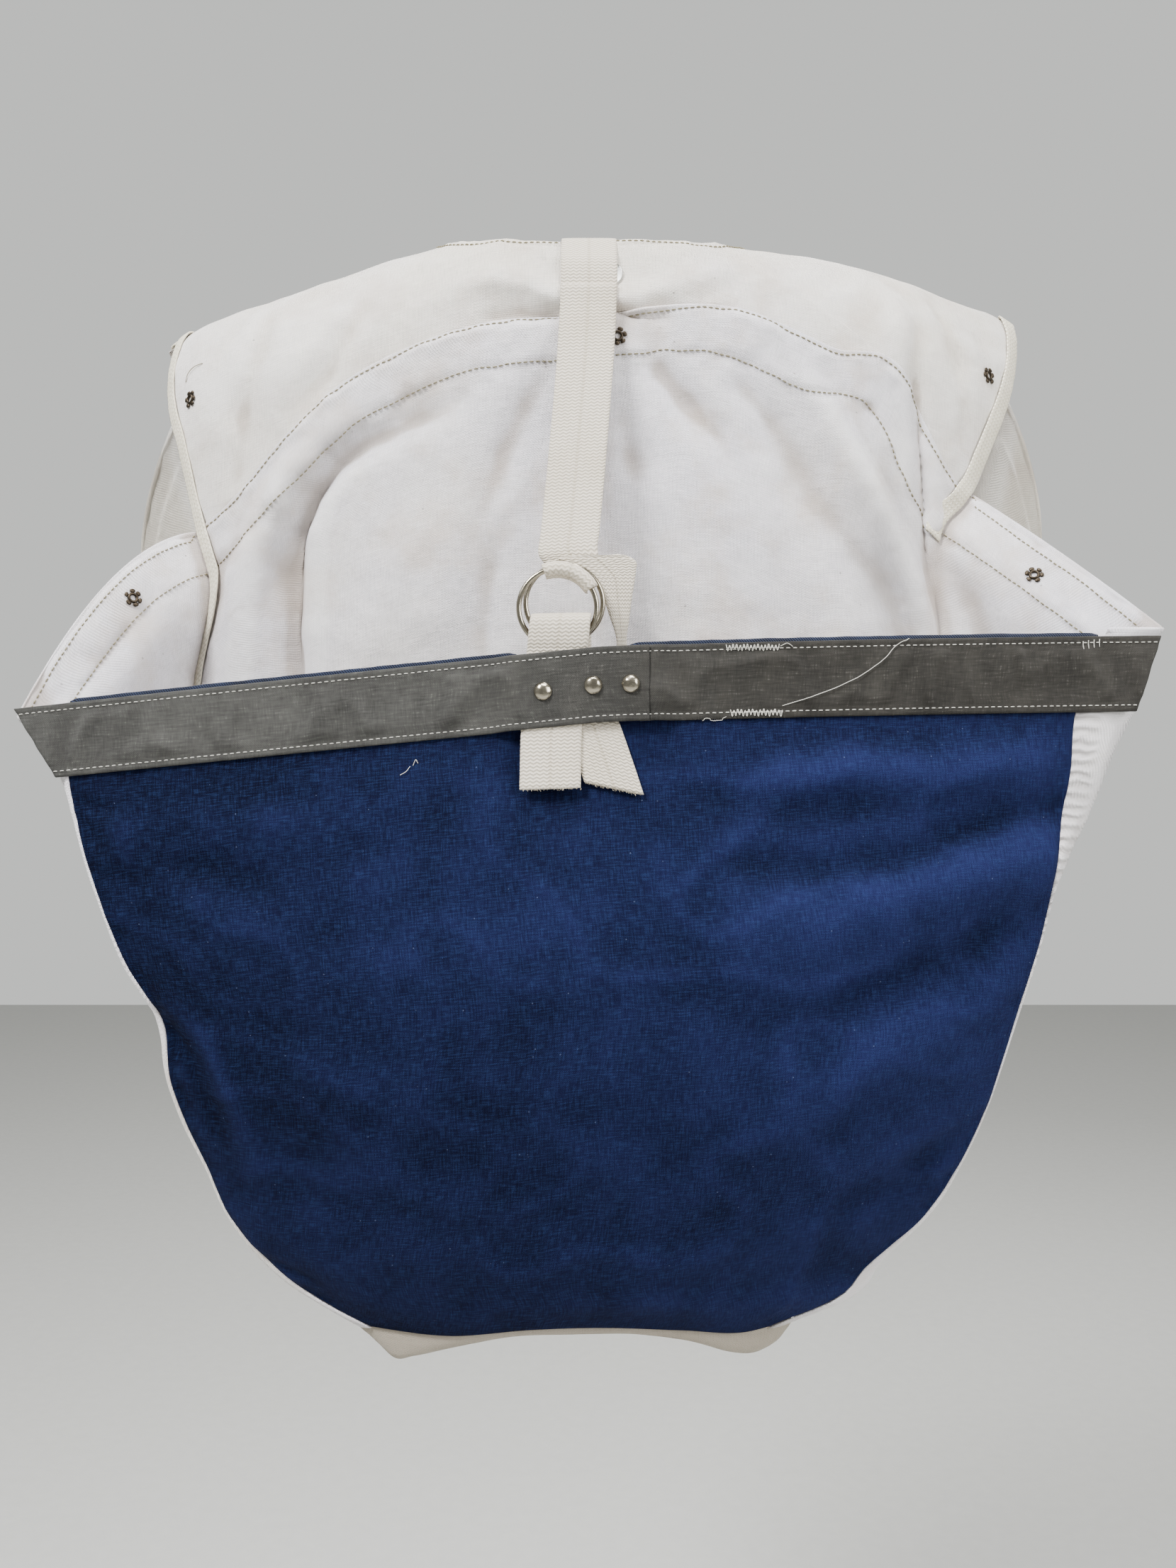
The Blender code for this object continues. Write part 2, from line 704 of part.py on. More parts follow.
def make_bands():
    """The grey band in two pieces; the right one goes under the left one's end."""
    left = [-0.2946, -0.285, -0.274, -0.258, -0.24, -0.215, -0.19, -0.16, -0.13, -0.10, -0.075,
            -0.058, -0.048, -0.0385, -0.02, 0.0, 0.018, BAND_LAP_X]
    right = [BAND_UNDER_X, BAND_LAP_X, 0.0355, 0.041, 0.048, 0.065, 0.09, 0.12, 0.15, 0.18, 0.21,
             0.235, 0.255, 0.27, 0.2946]
    add_wall("band_left", band_rows(FRONT, left), BAND_CLOTH, "grey_tape")
    add_wall("band_right", band_rows(FRONT, right, right_lap=True), BAND_CLOTH, "grey_tape")
    rear = band_rows(REAR, np.linspace(-MOUTH_CORNER, MOUTH_CORNER, 15))[::3]
    add_wall("rear_band", rear, BAND_CLOTH, "grey_tape", mirror=True)


def make_mouth_edges():
    """The navy edge that stands a little above the band, on the blue wall's upper rim."""
    runs = (
        ("mouth_edge_left", FRONT, -0.2660, -0.0365, 14),
        ("mouth_edge_right", FRONT, 0.0215, 0.2620, 14),
        ("rear_mouth_edge", REAR, -0.2664, 0.2664, 14),
    )
    for name, half, first, last, count in runs:
        rows = []
        for above in (EDGE_SHOWS + MOUTH_Z - PANEL_TOP_Z, EDGE_SHOWS / 2, GAP):
            row = []
            for i in range(count + 1):
                row.append(panel_point(half, blend(first, last, i / count), PANEL_TOP_Z) + (0, 0, above))
            rows.append(row)
        add_wall(name, rows, EDGE_CLOTH, "navy_edge", mirror=half is REAR)


def tape_points(edge, inner, down, width, lift):
    """A row across a tape that lies along an edge, lifted off the cloth between edge and inner."""
    inward = (inner - edge) / np.linalg.norm(inner - edge)
    normal = np.cross(inward, down)
    normal /= np.linalg.norm(normal)
    outside = edge - (0, edge[1] * 0.5, -0.35)
    if np.dot(normal, outside) < 0:
        normal = -normal
    return [edge + inward * (TAPE_INSET + share * width) + normal * lift for share in (0, 0.5, 1)]


def make_armhole_tape(name, right, width, columns, chest, rows_down):
    """A tape along an armhole edge, from inside the front pouch over the shoulder to the rear seam."""
    end, beside = (-1, -2) if right else (0, 1)
    lift = CANVAS / 2 + 2.5 * GAP + TAPE_CLOTH / 2
    on_pouch, on_yoke = [], []
    for i in rows_down:
        down = chest[i + 1][end] - chest[i][end]
        off = lift + (GAP if i == 0 else 0)
        on_pouch.append(tape_points(chest[i][end], chest[i][beside], down, width, off))
    stretch = columns[1] if right else columns[3]
    for i in range(1, len(stretch)):
        column = stretch[i]
        after = stretch[min(i + 1, len(stretch) - 1)][-1]
        on_yoke.append(tape_points(column[-1], column[-2], after - stretch[i - 1][-1], width, lift))
    rows = [*on_pouch[::-1], *on_yoke] if right else [*on_yoke, *on_pouch]
    add_wall(name, [row[::-1] for row in rows], TAPE_CLOTH, "cream_tape")


def ribbon_rows(path):
    """Rows across a flat band of webbing; path has (x, y, z, lean), lean its turn in its own plane."""
    rows = []
    for x, y, z, lean in path:
        turn = math.radians(lean)
        side = np.array((math.cos(turn), 0.0, math.sin(turn))) * WEBBING_WIDTH / 2
        rows.append([np.array((x, y, z)) + side * s for s in (-1, -0.5, 0, 0.5, 1)])
    return rows


# The middles of the two rings
RING_REAR = (-0.0122, -0.1440, -0.2342)
RING_FRONT = (-0.0154, -0.1500, -0.2374)

# The strap's way round the neckline: the turn on the body, and how far off the yoke's middle
STRAP_RIDE = (
    Ride(0.860, -0.0021),
    Ride(0.740, -0.0021),
    Ride(0.660, -0.0021),
    Ride(0.618, -0.0022),
    Ride(0.590, -0.0014),
    Ride(0.583, 0.0000),
    Ride(0.590, 0.0014),
    Ride(0.618, 0.0022),
    Ride(0.660, 0.0023),
    Ride(0.720, 0.0030),
    Ride(0.780, 0.0041),
    Ride(0.840, 0.0042),
    Ride(0.900, 0.0042),
)
# Below it, the strap hangs free in front of the chest
STRAP_WAY = (
    Way(0.0004, -0.1022, -0.0560, 1),
    Way(0.0000, -0.1046, -0.0700, 2),
    Way(-0.0016, -0.1110, -0.1000, 3),
    Way(-0.0042, -0.1195, -0.1350, 4),
    Way(-0.0068, -0.1280, -0.1680, 4),
    Way(-0.0092, -0.1355, -0.1950, 4),
    Way(-0.0104, -0.1385, -0.2060, 4),
)
# Its end comes through both rings and wraps the front one: from which ring's middle it is measured
# (0 rear, 1 front), the distance from there, y, and how far it has taken the ring's curve
STRAP_WRAP = (
    Wrap(0.0, 0.0242, -0.1388, 0.45),
    Wrap(0.0, 0.0208, -0.1387, 0.85),
    Wrap(0.0, 0.0184, -0.1396, 1.0),
    Wrap(0.0, 0.0166, -0.1430, 1.0),
    Wrap(0.5, 0.0192, -0.1468, 1.0),
    Wrap(1.0, 0.0227, -0.1490, 1.0),
    Wrap(1.0, 0.0228, -0.1512, 1.0),
    Wrap(1.0, 0.0210, -0.1532, 1.0),
    Wrap(1.0, 0.0186, -0.1534, 1.0),
    Wrap(1.0, 0.0168, -0.1518, 1.0),
    Wrap(1.0, 0.0163, -0.1490, 1.0),
    Wrap(1.0, 0.0166, -0.1455, 1.0),
    Wrap(1.0, 0.0172, -0.1420, 1.0),
)
WRAP_MIDDLE = 20
WRAP_SPREAD = 40

# The strap's free end, folded over at its top; it hangs behind the rings and goes down into the pouch
STRAP_TAIL = (
    Flap(-0.2092, -0.0020, 0.0190, -0.1414),
    Flap(-0.2106, -0.0145, 0.0222, -0.1414),
    Flap(-0.2130, -0.0120, 0.0246, -0.1414),
    Flap(-0.2165, -0.0045, 0.0244, -0.1414),
    Flap(-0.2215, 0.0040, 0.0238, -0.1414),
    Flap(-0.2300, 0.0078, 0.0224, -0.1412),
    Flap(-0.2420, 0.0120, 0.0209, -0.1405),
    Flap(-0.2524, 0.0150, 0.0196, -0.1395),
    Flap(-0.2700, 0.0160, 0.0200, -0.1385),
)

# The loop: left tail, up in front of the rings, over, down behind them, and the right tail; in the
# pocket under the band it lies one or two layers off the blue wall
LEFT_LEG = (
    Leg(-0.0190, -0.3290, 2, 2),
    Leg(-0.0188, -0.3120, 2, 2),
    Leg(-0.0184, -0.2970, 1, 2),
    Leg(-0.0174, -0.2800, 1, 2),
    Leg(-0.0162, -0.2665, 0, 2),
)
LOOP_WAY = (
    Way(-0.0155, -0.1541, -0.2592, 0),
    Way(-0.0150, -0.1552, -0.2540, 1),
    Way(-0.0144, -0.1556, -0.2480, 1),
    Way(-0.0140, -0.1545, -0.2435, 1),
    Way(-0.0136, -0.1505, -0.2409, 1),
    Way(-0.0136, -0.1440, -0.2407, 1),
    Way(-0.0138, -0.1400, -0.2440, 1),
    Way(-0.0138, -0.1388, -0.2510, 0),
    Way(-0.0134, -0.1402, -0.2570, 0),
    Way(-0.0124, -0.1445, -0.2598, 0),
    Way(-0.0110, -0.1490, -0.2599, 0),
    Way(-0.0100, -0.1518, -0.2604, -1),
    Way(-0.0092, -0.1523, -0.2628, -4),
)
RIGHT_LEG = (
    Leg(-0.0080, -0.2670, -8, 1),
    Leg(-0.0040, -0.2800, -12, 1),
    Leg(0.0020, -0.2960, -12, 1),
    Leg(0.0078, -0.3130, -12, 1),
    Leg(0.0130, -0.3290, -12, 1),
)


def make_strap():
    """The cream strap from inside the neckline to the rings."""
    path = []
    for ride in STRAP_RIDE:
        x, y, z = lifted(lambda a, b: body_point(FRONT, a, b), 0.0006, ride.turn, 0.0)
        normal = normal_of(lambda a, b: body_point(FRONT, a, -b), 0.0006, -ride.turn, 0.03)
        x, y, z = np.array((x, y, z)) + normal * ride.lift
        path.append((0.0006, y, z, 0))
    rows = ribbon_rows([*path, *STRAP_WAY])
    end = rows[-1]
    rear, front = np.array(RING_REAR), np.array(RING_FRONT)
    for wrap in STRAP_WRAP:
        middle = blend(rear, front, wrap.toward)
        row = []
        for s, flat in zip((-1, -0.5, 0, 0.5, 1), end):
            angle = math.radians(WRAP_MIDDLE + s * WRAP_SPREAD)
            round_ring = middle + wrap.distance * np.array((math.sin(angle), 0, math.cos(angle)))
            straight = np.array((flat[0], 0, flat[2] - 0.005))
            place = blend(straight, round_ring, wrap.taken)
            row.append(np.array((place[0], wrap.y, place[2])))
        rows.append(row)
    add_wall("strap", rows, WEBBING_THICK, "webbing")


def make_strap_tail():
    rows = []
    for flap in STRAP_TAIL:
        rows.append([np.array((blend(flap.left, flap.right, s), flap.y, flap.z)) for s in (0, 0.5, 1)])
    add_wall("strap_tail", rows, WEBBING_THICK, "webbing")


def make_ring_loop():
    legs = []
    for leg_rows in (LEFT_LEG, RIGHT_LEG):
        run = ribbon_rows([(leg.x, 0, leg.z, leg.lean) for leg in leg_rows])
        for row, leg in zip(run, leg_rows):
            off = PANEL_CLOTH / 2 + (leg.layer - 0.5) * WEBBING_THICK + (leg.layer + 1) * GAP
            for point in row:
                point[1] = panel_point(FRONT, point[0], point[2])[1] - off
        legs.append(run)
    add_wall("ring_loop", [*legs[0], *ribbon_rows(LOOP_WAY), *legs[1]], WEBBING_THICK, "webbing")


def make_ring(name, place):
    bpy.ops.mesh.primitive_torus_add(
        location=place,
        rotation=(math.pi / 2, 0, 0),
        major_radius=RING_RADIUS,
        minor_radius=RING_WIRE_RADIUS,
        major_segments=30,
        minor_segments=6,
    )
    ring = bpy.context.object
    ring.name = name
    ring.data.materials.append(material("nickel"))
    ring.data.shade_smooth()


def disc_points(place, normal, radius, sides, lobes=0.0):
    """Points round a place, square to a normal."""
    across = np.cross(normal, (0.0, 0.0, 1.0))
    across /= np.linalg.norm(across)
    up = np.cross(across, normal)
    points = []
    for i in range(sides):
        angle = 2 * math.pi * i / sides
        size = radius * (1 + lobes * math.cos(5 * angle))
        points.append(place + size * (across * math.cos(angle) + up * math.sin(angle)))
    return points


def seat_on(carrier, near, facing, radius):
    """Where a disc of a radius rests on an object's outside, a gap off its highest spot, and its normal."""
    mesh = bpy.data.objects[carrier].data
    tree = BVHTree.FromPolygons([v.co for v in mesh.vertices], [p.vertices for p in mesh.polygons])
    facing = np.array(facing, float) / np.linalg.norm(facing)
    hits = []
    for point in [np.array(near, float), *disc_points(np.array(near, float), facing, radius, 12)]:
        hit = tree.ray_cast(Vector(point + facing * 0.02), Vector(-facing), 0.05)
        hits.append(np.array(hit[0]) if hit[0] is not None else None)
    centre = hits[0]
    rim = [hit for hit in hits[1:] if hit is not None]
    normal = np.zeros(3)
    for a, b in zip(rim, rim[1:] + rim[:1]):
        normal += np.cross(a - centre, b - centre)
    normal /= np.linalg.norm(normal)
    normal = normal if np.dot(normal, facing) > 0 else -normal
    highest = max(np.dot(hit - centre, normal) for hit in rim)
    return centre + normal * (max(highest, 0.0) + GAP), normal


def add_turned(name, place, normal, profile, finish, sides, lobes=0.0):
    """A solid turned about its normal; profile has (radius, height) from the flat back's rim to the top."""
    points = [place + normal * profile[0][1]]
    for radius, height in profile:
        points += disc_points(place + normal * height, normal, radius, sides, lobes)
    top = len(points)
    points.append(place + normal * profile[-1][1])
    faces = []
    for i in range(sides):
        j = (i + 1) % sides
        faces.append((0, 1 + i, 1 + j))
        for r in range(len(profile) - 1):
            a, b = 1 + r * sides + i, 1 + r * sides + j
            faces.append((a, a + sides, b + sides, b))
        last = 1 + (len(profile) - 1) * sides
        faces.append((last + j, last + i, top))
    add_object(name, points, faces, finish)


# Rivets: place across the band, and how far down it
RIVETS = (
    Rivet("rivet_left", -0.0227, 0.0196),
    Rivet("rivet_middle", 0.0027, 0.0190),
    Rivet("rivet_right", 0.0216, 0.0192),
)
# Outlines from the flat back's rim to the top: radius and height
RIVET = (
    (RIVET_RADIUS, 0.0),
    (RIVET_RADIUS, 0.0006),
    (0.75 * RIVET_RADIUS, 0.0020),
    (0.3 * RIVET_RADIUS, RIVET_RISE),
)
CAP = (
    (CAP_SNAP_RADIUS, 0.0),
    (CAP_SNAP_RADIUS, 0.5 * CAP_SNAP_THICK),
    (0.8 * CAP_SNAP_RADIUS, CAP_SNAP_THICK),
)
PRONG = (
    (PRONG_SNAP_RADIUS, 0.0),
    (PRONG_SNAP_RADIUS, 0.6 * PRONG_SNAP_THICK),
    (0.6 * PRONG_SNAP_RADIUS, PRONG_SNAP_THICK),
)

# Snaps: what carries them, where they are, and which way they face
SNAPS = (
    Snap("prong_snap_centre", "front_pouch", 0.0165, -0.100, -0.0822, (0.0, -1.0, 0.25)),
    Snap("prong_snap_armhole_left", "yoke", -0.2330, -0.045, -0.1010, (-0.35, -1.0, 0.2)),
    Snap("prong_snap_armhole_right", "yoke", 0.2380, -0.045, -0.0846, (0.35, -1.0, 0.3)),
    Snap("prong_snap_gusset_left", "front_pouch", -0.2440, -0.100, -0.2250, (0.75, -0.7, 0.0)),
    Snap("prong_snap_gusset_right", "front_pouch", 0.2430, -0.098, -0.2130, (-0.75, -0.7, 0.0)),
)


def make_metal():
    """The rivets on the band, the snap cap at the strap and the five snap backs."""
    for rivet in RIVETS:
        near = band_point(FRONT, rivet.x, rivet.below, band_lift(FRONT, rivet.x))
        place, normal = seat_on("band_left", near, (0, -1, 0), RIVET_RADIUS)
        add_turned(rivet.name, place, normal, RIVET, "nickel", 12)
    near = body_point(FRONT, 0.0108, turn_at(FRONT, 0.0108, -0.0480))
    place, normal = seat_on("yoke", near, (0, -1, 0.35), CAP_SNAP_RADIUS)
    add_turned("cap_snap", place, normal, CAP, "nickel", 20)
    for snap in SNAPS:
        place, normal = seat_on(snap.carrier, (snap.x, snap.y, snap.z), snap.facing, PRONG_SNAP_RADIUS)
        add_turned(snap.name, place, normal, PRONG, "nickel", 15, 0.08)


def main():
    for old in list(bpy.data.objects):
        bpy.data.objects.remove(old, do_unlink=True)
    columns = yoke_columns()
    make_yoke(columns)
    chests = []
    for half in (FRONT, REAR):
        chest = [chest_row(half, share) for share in shares(half)]
        rows = make_pouch(half, chest)
        make_panel(half)
        make_bottom(half, rows[-1])
        chests.append(chest)
    make_bands()
    make_mouth_edges()
    make_armhole_tape("armhole_tape_left", False, TAPE_WIDTH_LEFT, columns, chests[0], (0, 2, 3, 4, 5))
    make_armhole_tape("armhole_tape_right", True, TAPE_WIDTH_RIGHT, columns, chests[0], (0, 2))
    make_strap()
    make_strap_tail()
    make_ring_loop()
    make_ring("ring_front", RING_FRONT)
    make_ring("ring_rear", RING_REAR)
    make_metal()


main()
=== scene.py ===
"""The looks of a newspaper carrier's bag, hanging as it is worn, with a pouch in front and one behind.

Metres, +Z up. The front faces -Y, and the origin is the middle of the neck opening. Each half is
worked out as if it were the front one, and the rear half is then turned round in Y.
"""

import math
from collections import namedtuple

import bpy
import numpy as np
from mathutils import Matrix, Vector, noise
from mathutils.bvhtree import BVHTree


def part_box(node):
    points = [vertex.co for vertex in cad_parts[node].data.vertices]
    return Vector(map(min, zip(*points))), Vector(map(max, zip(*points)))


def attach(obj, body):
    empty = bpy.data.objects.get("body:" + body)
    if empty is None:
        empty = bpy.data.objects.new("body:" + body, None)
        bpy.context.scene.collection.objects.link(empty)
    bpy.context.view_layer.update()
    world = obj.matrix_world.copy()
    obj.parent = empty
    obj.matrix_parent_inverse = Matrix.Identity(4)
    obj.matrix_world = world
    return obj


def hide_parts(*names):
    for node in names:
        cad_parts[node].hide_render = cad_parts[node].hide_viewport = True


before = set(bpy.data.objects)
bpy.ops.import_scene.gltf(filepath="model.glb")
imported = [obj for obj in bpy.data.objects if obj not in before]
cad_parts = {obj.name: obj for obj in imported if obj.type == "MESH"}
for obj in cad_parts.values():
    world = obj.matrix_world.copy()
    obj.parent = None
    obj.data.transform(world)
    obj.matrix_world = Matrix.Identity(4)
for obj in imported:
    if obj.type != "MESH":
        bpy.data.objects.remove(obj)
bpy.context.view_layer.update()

# Cloth, tape and hardware sizes
CANVAS = 0.0012
PANEL_CLOTH = 0.0012
BAND_CLOTH = 0.0010
BAND_HEIGHT = 0.038
TAPE_CLOTH = 0.0010
TAPE_INSET = 0.0020
WEBBING_WIDTH = 0.0300
WEBBING_THICK = 0.0016
GAP = 0.0004
THREAD = 0.00042
BAND_THREAD = 0.00026
STITCH_PITCH = 0.0034
HOLLOW_REACH = 0.016

# Shoulders and chest
SHOULDER_ROUND = 0.075
ROUND_POWER = 2.0
NECK_ROUND_POWER = 3.0
BELOW_ROUND = 1.3
NECK_HALF_WIDTH = 0.092
NECK_FRONT_TURN = 0.62
NECK_REAR_TURN = 0.55
NECK_HEM = 0.0034
POUCH_LIFT = CANVAS + GAP
MOUTH_Z = -0.2586
MOUTH_CORNER = 0.2946
PANEL_TOP_Z = -0.262
GUSSET_ABOVE_MOUTH = (-0.0034, 0.0030)
CHEST_BOTTOM_Z = -0.600

# The pouch's turned hem: its upper edge and its two rows of stitches, counted down from the seam
HEM_EDGE = -0.0014
HEM_STITCH = 0.0006
HEM_STITCH_GUSSET = 0.0046
HEM_LOWER_STITCH = 0.0236
HEM_END = 0.0300

Shoulder = namedtuple("Shoulder", "x z")
Arch = namedtuple("Arch", "x z")
Side = namedtuple("Side", "z left right")
Panel = namedtuple("Panel", "z left right middle edge")
Corner = namedtuple("Corner", "share left right back")
Fold = namedtuple("Fold", "x z left right rise")
BandEnd = namedtuple("BandEnd", "below left right")
Foot = namedtuple("Foot", "x rise")
Sag = namedtuple("Sag", "share drop")
Bartack = namedtuple("Bartack", "x z width height turns")
Tick = namedtuple("Tick", "x z height")
Half = namedtuple("Half", "name depth reach arch sides panel corners bow flare tilt folds dents")
Ride = namedtuple("Ride", "turn lift")
Way = namedtuple("Way", "x y z lean")
Wrap = namedtuple("Wrap", "toward distance y taken")
Flap = namedtuple("Flap", "z left right y")
Leg = namedtuple("Leg", "x z lean layer")


def table(kind, *rows):
    """A table's rows, each with its columns' names."""
    return tuple(kind(*row) for row in rows)


def in_mm(kind, *rows):
    """A table whose rows are written in millimetres."""
    return tuple(kind(*(value / 1000 for value in row)) for row in rows)


# The shoulder line, from the left tip to the right one
SHOULDERS = in_mm(Shoulder, (-270, -66), (-247, -52), (-191, -33), (-143, -20), (-92, -6), (0, -3), (92, -5),
    (119, -9), (167, -15.5), (215, -29), (258, -43), (275, -52))

# The seam where the pouch is sewn to the yoke, across the chest
FRONT_ARCH = in_mm(Arch, (-227, -182), (-201, -166), (-170, -135), (-143, -112), (-96, -88), (-55, -76),
    (0, -71), (87, -69), (133, -87), (180, -103), (197, -138), (214, -161))
REAR_ARCH = in_mm(Arch, (-266, -92), (-150, -90), (0, -80), (150, -86), (270, -80))

# The armhole edge, and below the seam the fold between the chest wall and the gusset
FRONT_SIDES = in_mm(Side, (-40, -248, 263), (-60, -251, 262), (-88, -252.5, 255.5), (-108, -249.5, 248),
    (-130, -241.5, 237), (-157, -234.5, 224), (-182, -226.5, 203), (-215, -216, 198), (-265, -228, 198),
    (-340, -231, 205), (-430, -222, 212), (-500, -200, 198), (-560, -165, 162), (-600, -126, 113))
REAR_SIDES = in_mm(Side, (-40, -248, 263), (-60, -260, 268), (-90, -266, 270), (-160, -252, 255),
    (-250, -230, 232), (-430, -222, 222), (-560, -163, 163), (-600, -122, 122))

# The pouch's front wall: its side edges, and how far forward its middle and its edges are
FRONT_PANEL = table(Panel, (-0.250, -0.2680, 0.2690, -0.1500, -0.1425),
    (-0.262, -0.2680, 0.2640, -0.1500, -0.1425), (-0.297, -0.2660, 0.2497, -0.1510, -0.1440),
    (-0.327, -0.2610, 0.2472, -0.1550, -0.1440), (-0.367, -0.2510, 0.2410, -0.1620, -0.1420),
    (-0.407, -0.2380, 0.2352, -0.1680, -0.1380), (-0.440, -0.2225, 0.2260, -0.1700, -0.1330),
    (-0.480, -0.2180, 0.2150, -0.1690, -0.1280), (-0.504, -0.2108, 0.2080, -0.1650, -0.1240),
    (-0.528, -0.2010, 0.1970, -0.1590, -0.1210), (-0.557, -0.1890, 0.1780, -0.1510, -0.1190),
    (-0.584, -0.1660, 0.1480, -0.1430, -0.1180), (-0.602, -0.1415, 0.1300, -0.1370, -0.1190),
    (-0.6155, -0.1150, 0.0960, -0.1300, -0.1200))
REAR_PANEL = in_mm(Panel, (-250, -269, 269, -150, -142.5), (-262, -268, 268, -150, -142.5),
    (-367, -246, 246, -160, -142), (-480, -216, 216, -166, -128), (-557, -183, 183, -150, -119),
    (-615.5, -105, 105, -130, -120))

# How far the gusset stands out beyond the front wall before it folds back, down its length
FRONT_CORNERS = table(Corner, (0.00, 0.0262, 0.0302, 0.0030), (0.10, 0.0070, 0.0325, 0.0035),
    (0.18, 0.0025, 0.0225, 0.0040), (0.26, 0.0020, 0.0140, 0.0040), (0.35, 0.0020, 0.0035, 0.0040),
    (0.50, 0.0040, 0.0020, 0.0040), (0.80, 0.0030, 0.0040, 0.0040), (1.00, 0.0090, 0.0150, 0.0040))
REAR_CORNERS = table(Corner, (0.00, 0.0262, 0.0262, 0.0030), (0.15, 0.0100, 0.0100, 0.0040),
    (0.30, 0.0020, 0.0020, 0.0040), (1.00, 0.0020, 0.0020, 0.0040))

# The band's ends, down its height
BAND_ENDS = (BandEnd(0.0, -0.2946, 0.2946), BandEnd(0.038, -0.2722, 0.2815))

# The blue wall's lower edge, and how far the white bottom hangs below it, from its left end to its right
PANEL_FOOT = table(Foot, (-0.1160, 0.0010), (-0.0720, -0.0012), (-0.0300, 0.0030), (0.0100, 0.0042),
    (0.0500, 0.0022), (0.0840, -0.0006), (0.0980, 0.0014))
BOTTOM_SAG = table(Sag, (0.00, 0.0006), (0.05, 0.0085), (0.09, 0.0146), (0.13, 0.0120), (0.20, 0.0072),
    (0.30, 0.0026), (0.50, 0.0016), (0.65, 0.0018), (0.75, 0.0040), (0.86, 0.0096), (0.93, 0.0112),
    (0.97, 0.0080), (1.00, 0.0008))

# Zigzag bartacks on the band, small ticks on its edge, and threads that have come loose
BARTACKS = table(Bartack, (0.0835, -0.2578, 0.0270, 0.0030, 15), (0.0853, -0.2909, 0.0265, 0.0032, 14))
TICKS = table(Tick, (-0.2796, -0.2835, 0.0040), (-0.2776, -0.2832, 0.0038), (-0.1614, -0.2672, 0.0042),
    (0.2535, -0.2560, 0.0042), (0.2562, -0.2556, 0.0044), (0.2590, -0.2552, 0.0042),
    (0.2620, -0.2548, 0.0040))
LOOSE_THREADS = (
    ("band", ((0.0985, -0.2873), (0.1135, -0.2827), (0.1324, -0.2752), (0.1474, -0.2659), (0.1571, -0.2562),
              (0.1635, -0.2532))),
    ("band", ((0.0700, -0.2930), (0.0660, -0.2946), (0.0600, -0.2938), (0.0560, -0.2952))),
    ("band", ((0.0975, -0.2570), (0.1010, -0.2556), (0.1040, -0.2572))),
    ("yoke", ((-0.2377, -0.0895), (-0.2360, -0.0850), (-0.2320, -0.0815), (-0.2262, -0.0800))),
    ("panel", ((-0.0886, -0.3178), (-0.0872, -0.3150), (-0.0861, -0.3166))),
    ("panel", ((-0.0950, -0.3226), (-0.0920, -0.3210), (-0.0900, -0.3182))),
)

